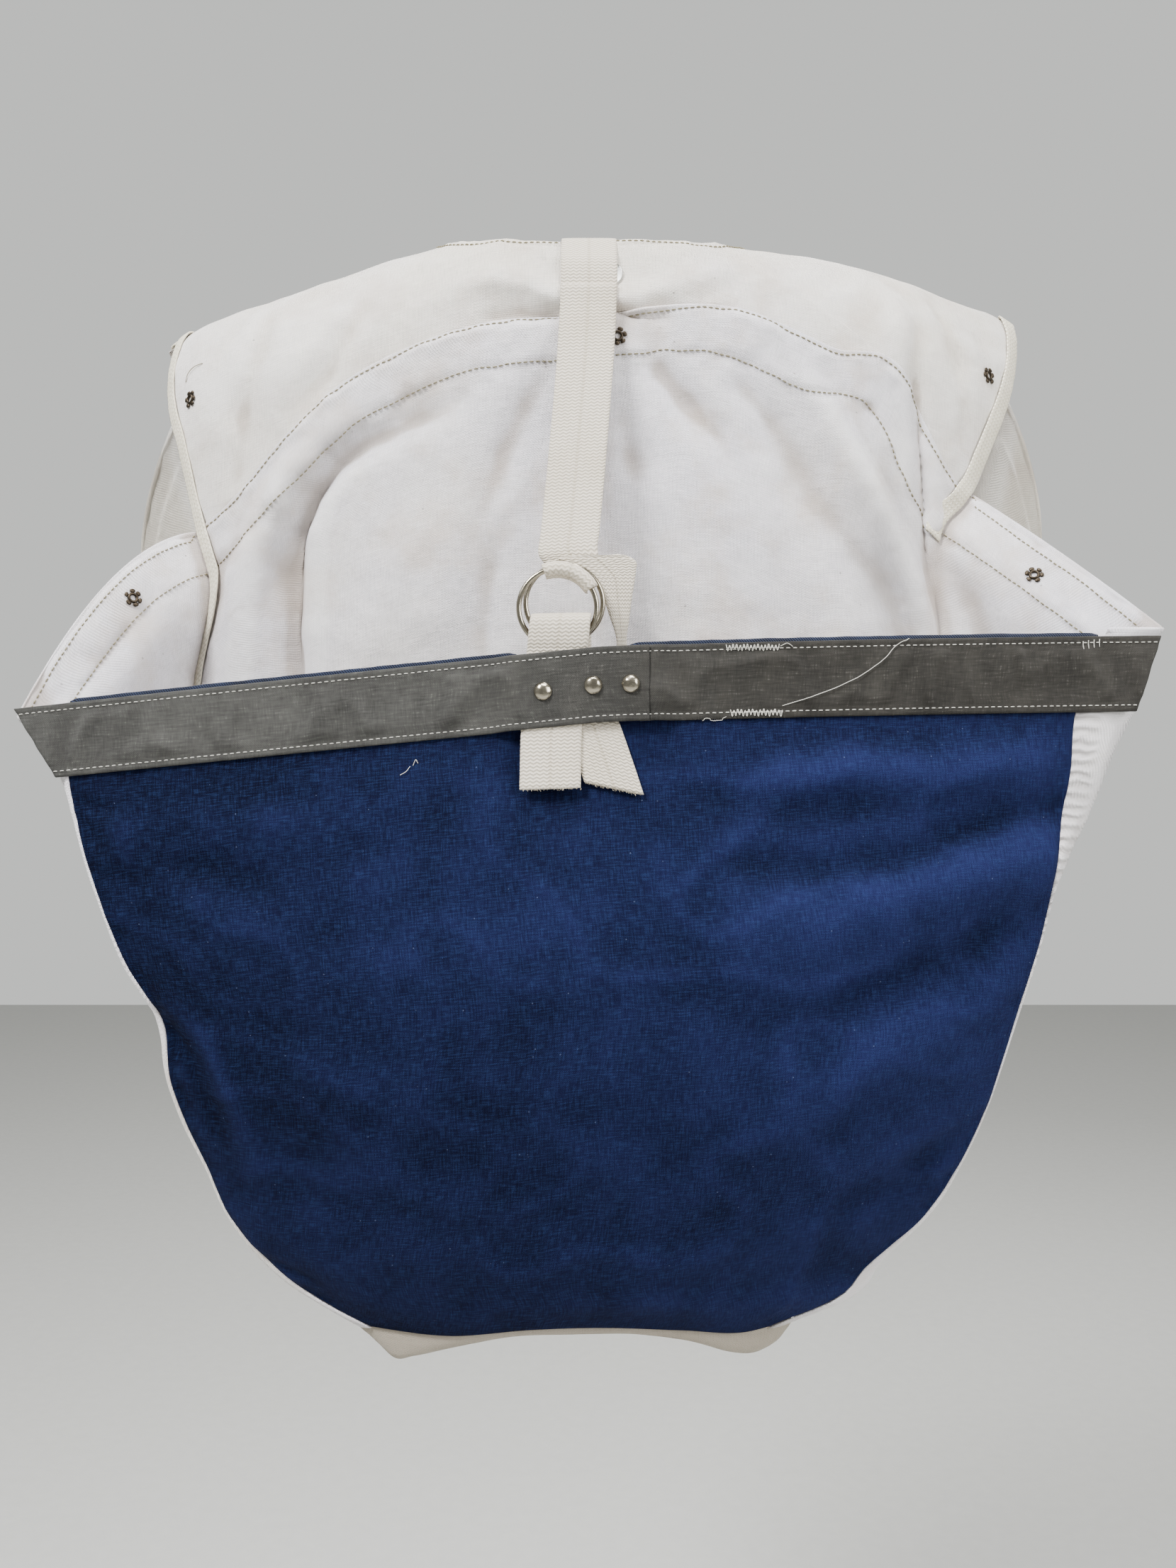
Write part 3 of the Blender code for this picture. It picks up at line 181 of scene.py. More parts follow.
# Folds of the front's chest and yoke. Each runs along its places, with a softness on either side in
# metres, left and right as it runs down, and stands out by its rise
CHEST_FOLDS = (
    # pleat left of the middle
    in_mm(Fold, (-74, -121, 12, 8, -2), (-99, -129, 14, 8, -6), (-121, -138, 14, 7, -8),
          (-138, -150, 15, 6, -10), (-150, -167, 17, 4.5, -12), (-157, -185, 18, 3.6, -13),
          (-159, -206, 19, 3.2, -13), (-160, -233, 20, 3.2, -13), (-159, -265, 20, 3.2, -13),
          (-157, -301, 20, 4, -11), (-152, -345, 20, 6, -5)),
    # ridge left of it
    in_mm(Fold, (-105, -120, 9, 9, 1.5), (-140, -133, 10, 11, 4), (-164, -152, 11, 13, 7),
          (-180, -176, 12, 13, 9), (-191, -201, 12, 13, 10), (-196, -229, 12, 13, 10),
          (-198, -260, 12, 13, 10), (-201, -305, 14, 14, 8), (-201, -365, 14, 14, 0)),
    # crease under the left hem
    in_mm(Fold, (-140, -126, 4, 4, 0), (-169, -142, 5, 5, -1.6), (-187, -167, 5, 5, -2.2),
          (-201, -196, 4, 5, -2), (-209, -219, 4, 4, 0)),
    # short fold beside the right of the strap
    in_mm(Fold, (27, -95, 6, 7, 0), (37, -100, 7, 8, -3.2), (53, -117, 8, 9, -5.4), (70, -135, 9, 10, -4.3),
          (90, -165, 9, 10, 0)),
    # long soft hollow
    in_mm(Fold, (74, -102, 8, 8, 0), (85, -110, 10, 9, -3), (99, -128, 13, 10, -4.5),
          (117, -155, 16, 12, -5.5), (137, -186, 18, 12, -5.5), (157, -215, 18, 12, -4.5),
          (171, -244, 16, 12, -3.5), (182, -285, 14, 12, 0)),
    # long ridge right of it
    in_mm(Fold, (107, -96, 8, 6, 0), (119, -102, 9, 6, 2), (132, -121, 10, 6, 4.5), (147, -146, 11, 6, 6.5),
          (164, -174, 11, 6, 7.5), (179, -203, 11, 6, 8), (189, -230, 10, 6, 7.5), (196, -254, 10, 6, 7),
          (200, -304, 10, 8, 3)),
    # crease at the right shoulder's fall
    in_mm(Fold, (186, -63, 4, 6, 0), (184, -84, 5, 6, -2.5), (184, -108, 5, 5, -4.5),
          (187, -138, 5, 4.5, -5.5), (189, -164, 5, 4.5, -5.5), (190, -192, 5, 4.5, -5),
          (193, -220, 5, 5, -3), (200, -256, 5, 5, 0)),
    # left yoke, long pull
    in_mm(Fold, (-114, -35, 7, 7, 0), (-128, -68, 8, 6, -2.5), (-145, -100, 8, 6, -3.2),
          (-169, -131, 8, 6, 0)),
    # left yoke, outer pull
    in_mm(Fold, (-181, -19, 6, 6, 0), (-185, -76, 8, 6, -2.9), (-197, -115, 8, 6, -3.6),
          (-200, -158, 7, 6, 0)),
    # left yoke, swell
    in_mm(Fold, (-124, -43, 9, 9, 0), (-154, -85, 10, 10, 2.9), (-180, -122, 10, 10, 0)),
    # left shoulder, short pull
    in_mm(Fold, (-197, -45, 4, 5, 0), (-206, -63, 5, 5, -2.3), (-220, -79, 5, 5, 0)),
    # right yoke, outer pull
    in_mm(Fold, (202, -16, 4, 7, 0), (205, -57, 4, 8, -3.2), (214, -85, 4, 8, -3.6), (218, -115, 5, 7, 0)),
    # right yoke, swell
    in_mm(Fold, (154, -26, 9, 7, 0), (176, -51, 10, 7, 4), (180, -80, 9, 6, 3.6), (176, -109, 8, 6, 0)),
    # right yoke, long soft pull
    in_mm(Fold, (71, -44, 8, 10, 0), (98, -62, 8, 10, -2.2), (109, -91, 8, 10, 0)),
    # tuck beside the left of the strap
    in_mm(Fold, (-11, -64, 9, 6, 4.5), (-33, -54, 10, 7, 5), (-51, -50, 10, 7, 4), (-68, -53, 10, 8, 2),
          (-90, -64, 9, 9, 0)),
    # hollow under it
    in_mm(Fold, (-11, -73, 5, 3, -3.5), (-33, -71, 6, 4, -3.5), (-52, -72, 6, 5, -2), (-74, -75, 6, 6, 0)),
    # tuck beside the right of the strap
    in_mm(Fold, (11, -62, 7, 9, 4.5), (29, -61, 7, 9, 5), (47, -54, 8, 9, 4), (69, -45, 9, 9, 2),
          (91, -40, 9, 9, 0)),
    # pinch under it
    in_mm(Fold, (10, -67, 2.5, 3, -3.5), (20, -70, 2.5, 3, -3.5), (29, -72, 3, 3, -2.5), (43, -72, 4, 4, -1),
          (59, -70, 4, 4, 0)),
    # pull left of the strap
    in_mm(Fold, (-21, -96, 8, 9, 0), (-35, -121, 9, 10, -4), (-47, -146, 10, 11, -4.7),
          (-58, -181, 11, 12, -2.7), (-66, -208, 11, 12, 0)),
    # soft hollow low in the middle
    in_mm(Fold, (-44, -177, 12, 9, 0), (-54, -208, 14, 9, -3.6), (-58, -243, 14, 9, -4),
          (-58, -286, 14, 9, 0)),
    # soft hollow right of the strap
    in_mm(Fold, (13, -115, 8, 8, 0), (22, -146, 9, 10, -3.2), (29, -177, 10, 11, 0)),
)

# Folds of the blue wall
PANEL_FOLDS = (
    # upper right swell
    in_mm(Fold, (65, -333, 12, 12, 0), (97, -328, 13, 12, 4.5), (133, -323, 13, 12, 6.3),
          (177, -327, 13, 12, 5.4), (225, -321, 12, 12, 2.7)),
    # dark hollow
    in_mm(Fold, (53, -374, 14, 12, 0), (82, -372, 14, 12, -2.5), (121, -374, 14, 12, -4),
          (157, -370, 12, 12, -4.5), (194, -356, 10, 11, -4.5), (238, -345, 9, 10, -4)),
    # middle right swell
    in_mm(Fold, (60, -421, 16, 16, 0), (106, -401, 18, 16, 3.5), (152, -387, 18, 14, 4.5),
          (198, -379, 16, 12, 4), (237, -372, 13, 10, 3)),
    # lower right hollow
    in_mm(Fold, (60, -456, 14, 14, 0), (124, -444, 16, 14, -3), (180, -420, 16, 14, -3.5),
          (226, -402, 14, 12, -2.5)),
    # lower right swell
    in_mm(Fold, (67, -502, 16, 16, 0), (125, -483, 18, 16, 2.5), (182, -454, 18, 16, 3),
          (217, -434, 14, 14, 1.5)),
    # upper left swell
    in_mm(Fold, (-250, -327, 10, 9, 0), (-209, -324, 11, 10, 1.8), (-162, -332, 13, 11, 2.2),
          (-111, -342, 12, 12, 0)),
    # upper left hollow
    in_mm(Fold, (-239, -354, 9, 9, -1), (-205, -354, 11, 10, -2.4), (-172, -363, 12, 11, -2.2),
          (-138, -386, 12, 12, 0)),
    # corner crease
    in_mm(Fold, (-261, -310, 3, 3, -1.5), (-250, -316, 3.5, 3.5, -1.5), (-237, -319, 4, 4, 0)),
    # second corner crease
    in_mm(Fold, (-262, -320, 3, 3, -1.2), (-252, -331, 3.5, 3.5, -1.2), (-243, -346, 4, 4, 0)),
    # lower left crease
    in_mm(Fold, (-224, -435, 5, 5, -3.5), (-215, -451, 5, 6, -4), (-204, -467, 5, 7, -3.6),
          (-195, -492, 6, 8, -2.6), (-187, -524, 7, 8, 0)),
    # fold right of it
    in_mm(Fold, (-215, -423, 8, 8, 0), (-199, -452, 9, 8, 3), (-188, -481, 9, 9, 3),
          (-177, -514, 10, 10, 1.5), (-167, -543, 10, 10, 0)),
    # low left crease
    in_mm(Fold, (-183, -572, 4, 4, 0), (-171, -578, 4, 4, -1.8), (-155, -583, 4, 4, -2),
          (-136, -588, 4, 4, 0)),
    # long left hollow
    in_mm(Fold, (-96, -356, 20, 20, 0), (-142, -405, 20, 20, -2), (-162, -463, 20, 20, -2.4),
          (-146, -527, 20, 20, -1.4), (-113, -566, 18, 18, 0)),
    # low right hollow
    in_mm(Fold, (105, -542, 14, 14, 0), (136, -545, 14, 14, -2.4), (170, -525, 12, 12, -3),
          (201, -501, 10, 10, -2)),
)

PLAIN_FRONT = Half("front", 0.097, 0.270, FRONT_ARCH, FRONT_SIDES, FRONT_PANEL, FRONT_CORNERS,
                   (0.022, 0.002), (0.0, 0.0), (0.030, 0.0077), (), ())
FRONT = PLAIN_FRONT._replace(folds=PANEL_FOLDS, dents=CHEST_FOLDS)
REAR = Half("rear", 0.100, 0.310, REAR_ARCH, REAR_SIDES, REAR_PANEL, REAR_CORNERS,
            (0.0, 0.0), (0.024, 0.026), (0.004, -0.004), (), ())
GUSSET_CLEAR = {"front": 0.0006, "rear": 0.0020}

# Folds of the white gussets beside the front wall
GUSSET_FOLDS = (
    in_mm(Fold, (-262, -262, 10, 8, -3), (-243, -225, 10, 8, -2), (-232, -195, 8, 8, 0)),
    in_mm(Fold, (205, -195, 6, 8, 0), (212, -225, 7, 10, -4), (222, -262, 8, 12, -5)),
)

# How finely the cloth is drawn
FRONT_SPLIT = 180
REAR_SPLIT = 90
ARMHOLE_SPLIT = 40
YOKE_RINGS = 60

# The loop's two legs make the band stand out between these places
LOOP_LEFT = -0.0385
LOOP_RIGHT = 0.0335
LOOP_SOFT = 0.013
LOOP_STACK = 2 * WEBBING_THICK + 3 * GAP
BAND_LAP_X = 0.0306
BAND_UNDER_X = 0.0262
BAND_STITCH = 0.0035
TAPE_WIDTH_LEFT = 0.0078
TAPE_WIDTH_RIGHT = 0.0108

# Weave and webbing
CANVAS_WARP = 0.00082
CANVAS_WEFT = 0.00066
BLUE_PITCH = 0.00042
WEBBING_COLUMN = 0.0034
WEBBING_PICK = 0.0019

# Metal
RING_RADIUS = 0.0198
RING_WIRE_RADIUS = 0.00135
PRONGS = 6
RIVETS = ("rivet_left", "rivet_middle", "rivet_right")
RIVET_PROFILE = ((0.0047, 0.0), (0.0047, 0.0005), (0.0044, 0.0009), (0.0036, 0.0018), (0.0024, 0.0024),
                 (0.0010, 0.0027))
CAP_PROFILE = ((0.0082, 0.0), (0.0084, 0.0003), (0.0083, 0.0008), (0.0080, 0.0011), (0.0076, 0.0010),
               (0.0070, 0.0009))
PRONG_SNAPS = (
    ("prong_snap_centre", ["front_pouch_cloth"], (0.0, -1.0, 0.25), 0.3),
    ("prong_snap_armhole_left", ["yoke_cloth"], (-0.35, -1.0, 0.2), 1.1),
    ("prong_snap_armhole_right", ["yoke_cloth"], (0.35, -1.0, 0.3), 2.2),
    ("prong_snap_gusset_left", ["front_pouch_cloth"], (0.75, -0.7, 0.0), 0.7),
    ("prong_snap_gusset_right", ["front_pouch_cloth"], (-0.75, -0.7, 0.0), 1.9),
)

# Camera, light and floor
CAMERA = (0.0, -0.835, -0.327)
CAMERA_PIXELS = 1900
FLOOR_Z = -1.30
SKY = 0.42
BACKDROP = 0.92
LIGHTS = (
    ("window_key", (-1.3, -1.4, 1.5), (0.7, 0.6), 140),
    ("window_top", (0.2, -0.7, 2.0), (1.1, 0.8), 74),
    ("window_right", (1.7, -1.4, 0.5), (1.2, 1.2), 60),
    ("fill_behind", (0.8, 1.9, 1.0), (1.8, 1.4), 16),
)

# The middles of the two rings
RING_REAR = (-0.0122, -0.1440, -0.2342)
RING_FRONT = (-0.0154, -0.1500, -0.2374)

# The strap's way round the neckline: the turn on the body, and how far off the yoke's middle
STRAP_RIDE = table(Ride, (0.860, -0.0021), (0.740, -0.0021), (0.660, -0.0021), (0.618, -0.0022),
    (0.590, -0.0014), (0.583, 0.0000), (0.590, 0.0014), (0.618, 0.0022), (0.660, 0.0023), (0.720, 0.0030),
    (0.780, 0.0041), (0.840, 0.0042), (0.900, 0.0042))
# Below it, the strap hangs free in front of the chest
STRAP_WAY = table(Way, (0.0004, -0.1022, -0.0560, 1), (0.0000, -0.1046, -0.0700, 2),
    (-0.0016, -0.1110, -0.1000, 3), (-0.0042, -0.1195, -0.1350, 4), (-0.0068, -0.1280, -0.1680, 4),
    (-0.0092, -0.1355, -0.1950, 4), (-0.0104, -0.1385, -0.2060, 4))
# Its end comes through both rings and wraps the front one: from which ring's middle it is measured
# (0 rear, 1 front), the distance from there, y, and how far it has taken the ring's curve
STRAP_WRAP = table(Wrap, (0.0, 0.0242, -0.1388, 0.45), (0.0, 0.0208, -0.1387, 0.85),
    (0.0, 0.0184, -0.1396, 1.0), (0.0, 0.0166, -0.1430, 1.0), (0.5, 0.0192, -0.1468, 1.0),
    (1.0, 0.0227, -0.1490, 1.0), (1.0, 0.0228, -0.1512, 1.0), (1.0, 0.0210, -0.1532, 1.0),
    (1.0, 0.0186, -0.1534, 1.0), (1.0, 0.0168, -0.1518, 1.0), (1.0, 0.0163, -0.1490, 1.0),
    (1.0, 0.0166, -0.1455, 1.0), (1.0, 0.0172, -0.1420, 1.0))
WRAP_MIDDLE = 20
WRAP_SPREAD = 40

# The strap's free end, folded over at its top; it hangs behind the rings and goes down into the pouch
STRAP_TAIL = table(Flap, (-0.2092, -0.0020, 0.0190, -0.1414), (-0.2106, -0.0145, 0.0222, -0.1414),
    (-0.2130, -0.0120, 0.0246, -0.1414), (-0.2165, -0.0045, 0.0244, -0.1414),
    (-0.2215, 0.0040, 0.0238, -0.1414), (-0.2300, 0.0078, 0.0224, -0.1412),
    (-0.2420, 0.0120, 0.0209, -0.1405), (-0.2524, 0.0150, 0.0196, -0.1395),
    (-0.2700, 0.0160, 0.0200, -0.1385))

# The loop: left tail, up in front of the rings, over, down behind them, and the right tail; in the
# pocket under the band it lies one or two layers off the blue wall
LEFT_LEG = table(Leg, (-0.0190, -0.3290, 2, 2), (-0.0188, -0.3120, 2, 2), (-0.0184, -0.2970, 1, 2),
    (-0.0174, -0.2800, 1, 2), (-0.0162, -0.2665, 0, 2))
LOOP_WAY = table(Way, (-0.0155, -0.1541, -0.2592, 0), (-0.0150, -0.1552, -0.2540, 1),
    (-0.0144, -0.1556, -0.2480, 1), (-0.0140, -0.1545, -0.2435, 1), (-0.0136, -0.1505, -0.2409, 1),
    (-0.0136, -0.1440, -0.2407, 1), (-0.0138, -0.1400, -0.2440, 1), (-0.0138, -0.1388, -0.2510, 0),
    (-0.0134, -0.1402, -0.2570, 0), (-0.0124, -0.1445, -0.2598, 0), (-0.0110, -0.1490, -0.2599, 0),
    (-0.0100, -0.1518, -0.2604, -1), (-0.0092, -0.1523, -0.2628, -4))
RIGHT_LEG = table(Leg, (-0.0080, -0.2670, -8, 1), (-0.0040, -0.2800, -12, 1), (0.0020, -0.2960, -12, 1),
    (0.0078, -0.3130, -12, 1), (0.0130, -0.3290, -12, 1))


def read(rows, key, column, at):
    """A column's values at places along the key column, on a smooth curve through the rows."""
    keys = np.array([getattr(row, key) for row in rows], float)
    values = np.array([getattr(row, column) for row in rows], float)
    if keys[0] > keys[-1]:
        keys, values = keys[::-1], values[::-1]
    slopes = np.gradient(values, keys)
    at = np.clip(at, keys[0], keys[-1])
    i = np.clip(np.searchsorted(keys, at, side="right") - 1, 0, len(keys) - 2)
    step = keys[i + 1] - keys[i]
    t = (at - keys[i]) / step
    start = (1 + 2 * t) * (1 - t) ** 2 * values[i] + t * (1 - t) ** 2 * step * slopes[i]
    return start + t * t * (3 - 2 * t) * values[i + 1] + t * t * (t - 1) * step * slopes[i + 1]


def read_side(rows, key, x, at):
    """The left column's values where x is below 0, and the right column's elsewhere."""
    return np.where(x > 0, read(rows, key, "right", at), read(rows, key, "left", at))


def ease(value, low, high):
    """0 below low, 1 above high, and a soft step between them."""
    t = np.clip((value - low) / (high - low), 0.0, 1.0)
    return t * t * (3 - 2 * t)


def blend(a, b, t):
    return a + (b - a) * t


def bell(value, middle, width):
    return np.exp(-(((value - middle) / width) ** 2))


def places(x, y, z):
    """Points from arrays of their coordinates."""
    return np.stack(np.broadcast_arrays(x, y, z), axis=-1).astype(float)


def fold_rise(folds, x, z):
    """How far the folds stand out from the smooth cloth."""
    rise = np.zeros(np.shape(x))
    for fold in folds:
        nearest = np.full(np.shape(x), np.inf)
        own = np.zeros(np.shape(x))
        for a, b in zip(fold, fold[1:]):
            run_x, run_z = b.x - a.x, b.z - a.z
            t = ((x - a.x) * run_x + (z - a.z) * run_z) / (run_x * run_x + run_z * run_z)
            t = np.clip(t, 0.0, 1.0)
            away = np.hypot(x - a.x - t * run_x, z - a.z - t * run_z)
            right = run_x * (z - a.z) - run_z * (x - a.x) > 0
            width = np.where(right, blend(a.right, b.right, t), blend(a.left, b.left, t))
            closer = away < nearest
            own = np.where(closer, blend(a.rise, b.rise, t) * np.exp(-((away / width) ** 2)), own)
            nearest = np.where(closer, away, nearest)
        rise += own
    return rise


def crumple(points, size, seed, stretch=(1, 1, 1)):
    """Smooth noise between about -1 and 1 at points; size is how large its swells are, in metres."""
    flat = np.asarray(points, float).reshape(-1, 3) / size / np.array(stretch, float)
    values = [noise.noise(Vector((x + seed * 7.3, y - seed * 3.1, z + seed * 1.7))) for x, y, z in flat]
    return np.array(values).reshape(np.shape(points)[:-1])


def creases(points, size, seed, stretch=(1, 1, 1)):
    """Sharp little ridges between 0 and 1, with flat cloth between them."""
    return np.clip(1 - 3.2 * np.abs(crumple(points, size, seed, stretch)), 0, 1) ** 1.5


def shoulder_z(x):
    return read(SHOULDERS, "x", "z", x)


def body_depth(half, x, z):
    """How far the chest stands out from the shoulder line."""
    share = np.minimum(np.abs(x), half.reach - 0.001) / half.reach
    narrow = np.clip(1 - share ** 3.2, 0, 1) ** 0.8
    return half.depth * narrow * (1 - 0.25 * ease(-z, 0.35, 0.60))


def round_power(x):
    """How square the round is: the cloth stands up more steeply in front of the neck."""
    return blend(NECK_ROUND_POWER, ROUND_POWER, ease(np.abs(x), 0.02, 0.10))


def turn_at(x, z):
    """The turn from the shoulder line, 0, over the round of the shoulder, 1, and on down the chest."""
    drop = (shoulder_z(x) - z) / SHOULDER_ROUND
    turned = np.arccos(np.clip(1 - np.clip(drop, 0, 1), 0, 1) ** (round_power(x) / 2)) / (math.pi / 2)
    return np.where(drop >= 1, 1 + (drop - 1) / BELOW_ROUND, turned)


def body_point(half, x, turn):
    """Points of the cloth that lies on the shoulders and the chest, on the front's side."""
    angle = np.minimum(turn, 1.0) * math.pi / 2
    below = np.maximum(turn - 1, 0.0) * BELOW_ROUND
    power = 2 / round_power(x)
    z = shoulder_z(x) - SHOULDER_ROUND * (1 - np.maximum(np.cos(angle), 0.0) ** power + below)
    out = body_depth(half, x, z) * np.sin(np.maximum(angle, 0)) ** power
    out = out + fold_rise(half.dents, x, z) * ease(turn, 0.15, 0.55)
    return places(x, -out, z)


def chest_point(half, x, z):
    return body_point(half, x, turn_at(x, z))


def mouth_slope(half, x):
    """How far the mouth's line is above its middle."""
    left, right = half.tilt
    share = np.abs(x) / MOUTH_CORNER
    return np.where(x < 0, -left * share, right * share ** 0.7)


def panel_point(half, x, z):
    """Points of the pouch's front wall; z is counted on the centre line, under a level mouth."""
    width = read_side(half.panel, "z", x, z)
    middle = read(half.panel, "z", "middle", z)
    edge = read(half.panel, "z", "edge", z)
    y = middle + (edge - middle) * np.minimum(np.abs(x / width), 1.2) ** 2.6
    level = 1 - ease(-z, 0.26, 0.60)
    rise = fold_rise(half.folds, x, z) * ease(-z, 0.285, 0.315)
    return places(x, y - rise, z + mouth_slope(half, x) * level)


def lifted(surface, a, b, lift, step=0.002):
    """Points of surface(a, b), moved out of the bag's front by a lift."""
    across = surface(a + step, b) - surface(a - step, b)
    down = surface(a, b - step) - surface(a, b + step)
    normal = np.cross(down, across)
    normal /= np.linalg.norm(normal, axis=-1, keepdims=True)
    normal = np.where(normal[..., 1:2] < 0, normal, -normal)
    return surface(a, b) + np.asarray(lift, float)[..., None] * normal


def grid_normals(grid, loop=False):
    """Unit normals of a grid of points; with loop, its last column joins its first."""
    if loop:
        wide = np.concatenate([grid[:, -1:], grid, grid[:, :1]], axis=1)
        across = wide[:, 2:] - wide[:, :-2]
    else:
        across = np.gradient(grid, axis=1)
    normals = np.cross(across, np.gradient(grid, axis=0))
    return normals / np.maximum(np.linalg.norm(normals, axis=2, keepdims=True), 1e-12)


def puffed(grid, rise, loop=False):
    """A grid moved along its normals."""
    return grid + grid_normals(grid, loop) * np.asarray(rise)[..., None]


def along(points):
    """The distance along a line of points at each of them."""
    steps = np.linalg.norm(np.diff(points, axis=0), axis=1)
    return np.concatenate([[0.0], np.cumsum(steps)])


def through(rows, count):
    """Rows of points on a smooth line through the given ones, an even share of the way apart."""
    rows = np.asarray(rows, float)
    keys = np.arange(len(rows), dtype=float)
    slopes = np.gradient(rows, axis=0)
    at = np.linspace(0, len(rows) - 1, count)
    i = np.clip(at.astype(int), 0, len(rows) - 2)
    t = (at - keys[i]).reshape((-1,) + (1,) * (rows.ndim - 1))
    start = (1 + 2 * t) * (1 - t) ** 2 * rows[i] + t * (1 - t) ** 2 * slopes[i]
    return start + t * t * (3 - 2 * t) * rows[i + 1] + t * t * (t - 1) * slopes[i + 1]


def hollows(grid, reach, loop=False):
    """How far each point of a grid lies behind the mean of its surroundings, seen from the front."""
    down = np.linalg.norm(np.diff(grid, axis=0), axis=2).mean()
    across = np.linalg.norm(np.diff(grid, axis=1), axis=2).mean()
    mean = grid
    for axis, step in ((0, down), (1, across)):
        count = int(min(max(1, round(reach / step)), grid.shape[axis] - 1))
        pads = [(count, count) if i == axis else (0, 0) for i in range(3)]
        beyond = {"mode": "wrap"} if loop and axis else {"mode": "reflect", "reflect_type": "odd"}
        wide = np.pad(mean, pads, **beyond)
        total = np.cumsum(np.insert(wide, 0, 0.0, axis=axis), axis=axis)
        size = mean.shape[axis]
        high = np.take(total, np.arange(2 * count + 1, 2 * count + 1 + size), axis=axis)
        mean = (high - np.take(total, np.arange(size), axis=axis)) / (2 * count + 1)
    return -np.sum((mean - grid) * grid_normals(grid, loop), axis=2)


def cloth_map(grid, loop=False):
    """Where each point of a grid lies on the flat cloth, in metres; a loop gets one more column."""
    wide = np.concatenate([grid, grid[:, :1]], axis=1) if loop else grid
    across = np.linalg.norm(np.diff(wide, axis=1), axis=2)
    down = np.linalg.norm(np.diff(grid, axis=0), axis=2)
    u = np.concatenate([np.zeros((len(grid), 1)), np.cumsum(across, axis=1)], axis=1)
    v = np.concatenate([np.zeros((1, grid.shape[1])), np.cumsum(down, axis=0)])
    u -= u[:, u.shape[1] // 2:u.shape[1] // 2 + 1]
    return np.stack([u, -(np.concatenate([v, v[:, :1]], axis=1) if loop else v)], axis=-1)


def add_piece(name, points, faces, uvs, finish, stands_for=()):
    """One piece of the bag, smooth, with its finish; uvs has a place on the flat cloth for each corner."""
    mesh = bpy.data.meshes.new(name)
    mesh.from_pydata([tuple(p) for p in points], [], [tuple(int(i) for i in face) for face in faces])
    layer = mesh.uv_layers.new(name="Cloth")
    layer.data.foreach_set("uv", np.asarray(uvs, np.float32).ravel())
    mesh.materials.append(finish)
    piece = bpy.data.objects.new(name, mesh)
    bpy.context.collection.objects.link(piece)
    mesh.shade_smooth()
    settle(piece, stands_for)
    return piece


def settle(piece, stands_for=()):
    """The piece rides on the bag and stands for its CAD nodes."""
    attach(piece, "root")
    if stands_for:
        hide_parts(*stands_for)


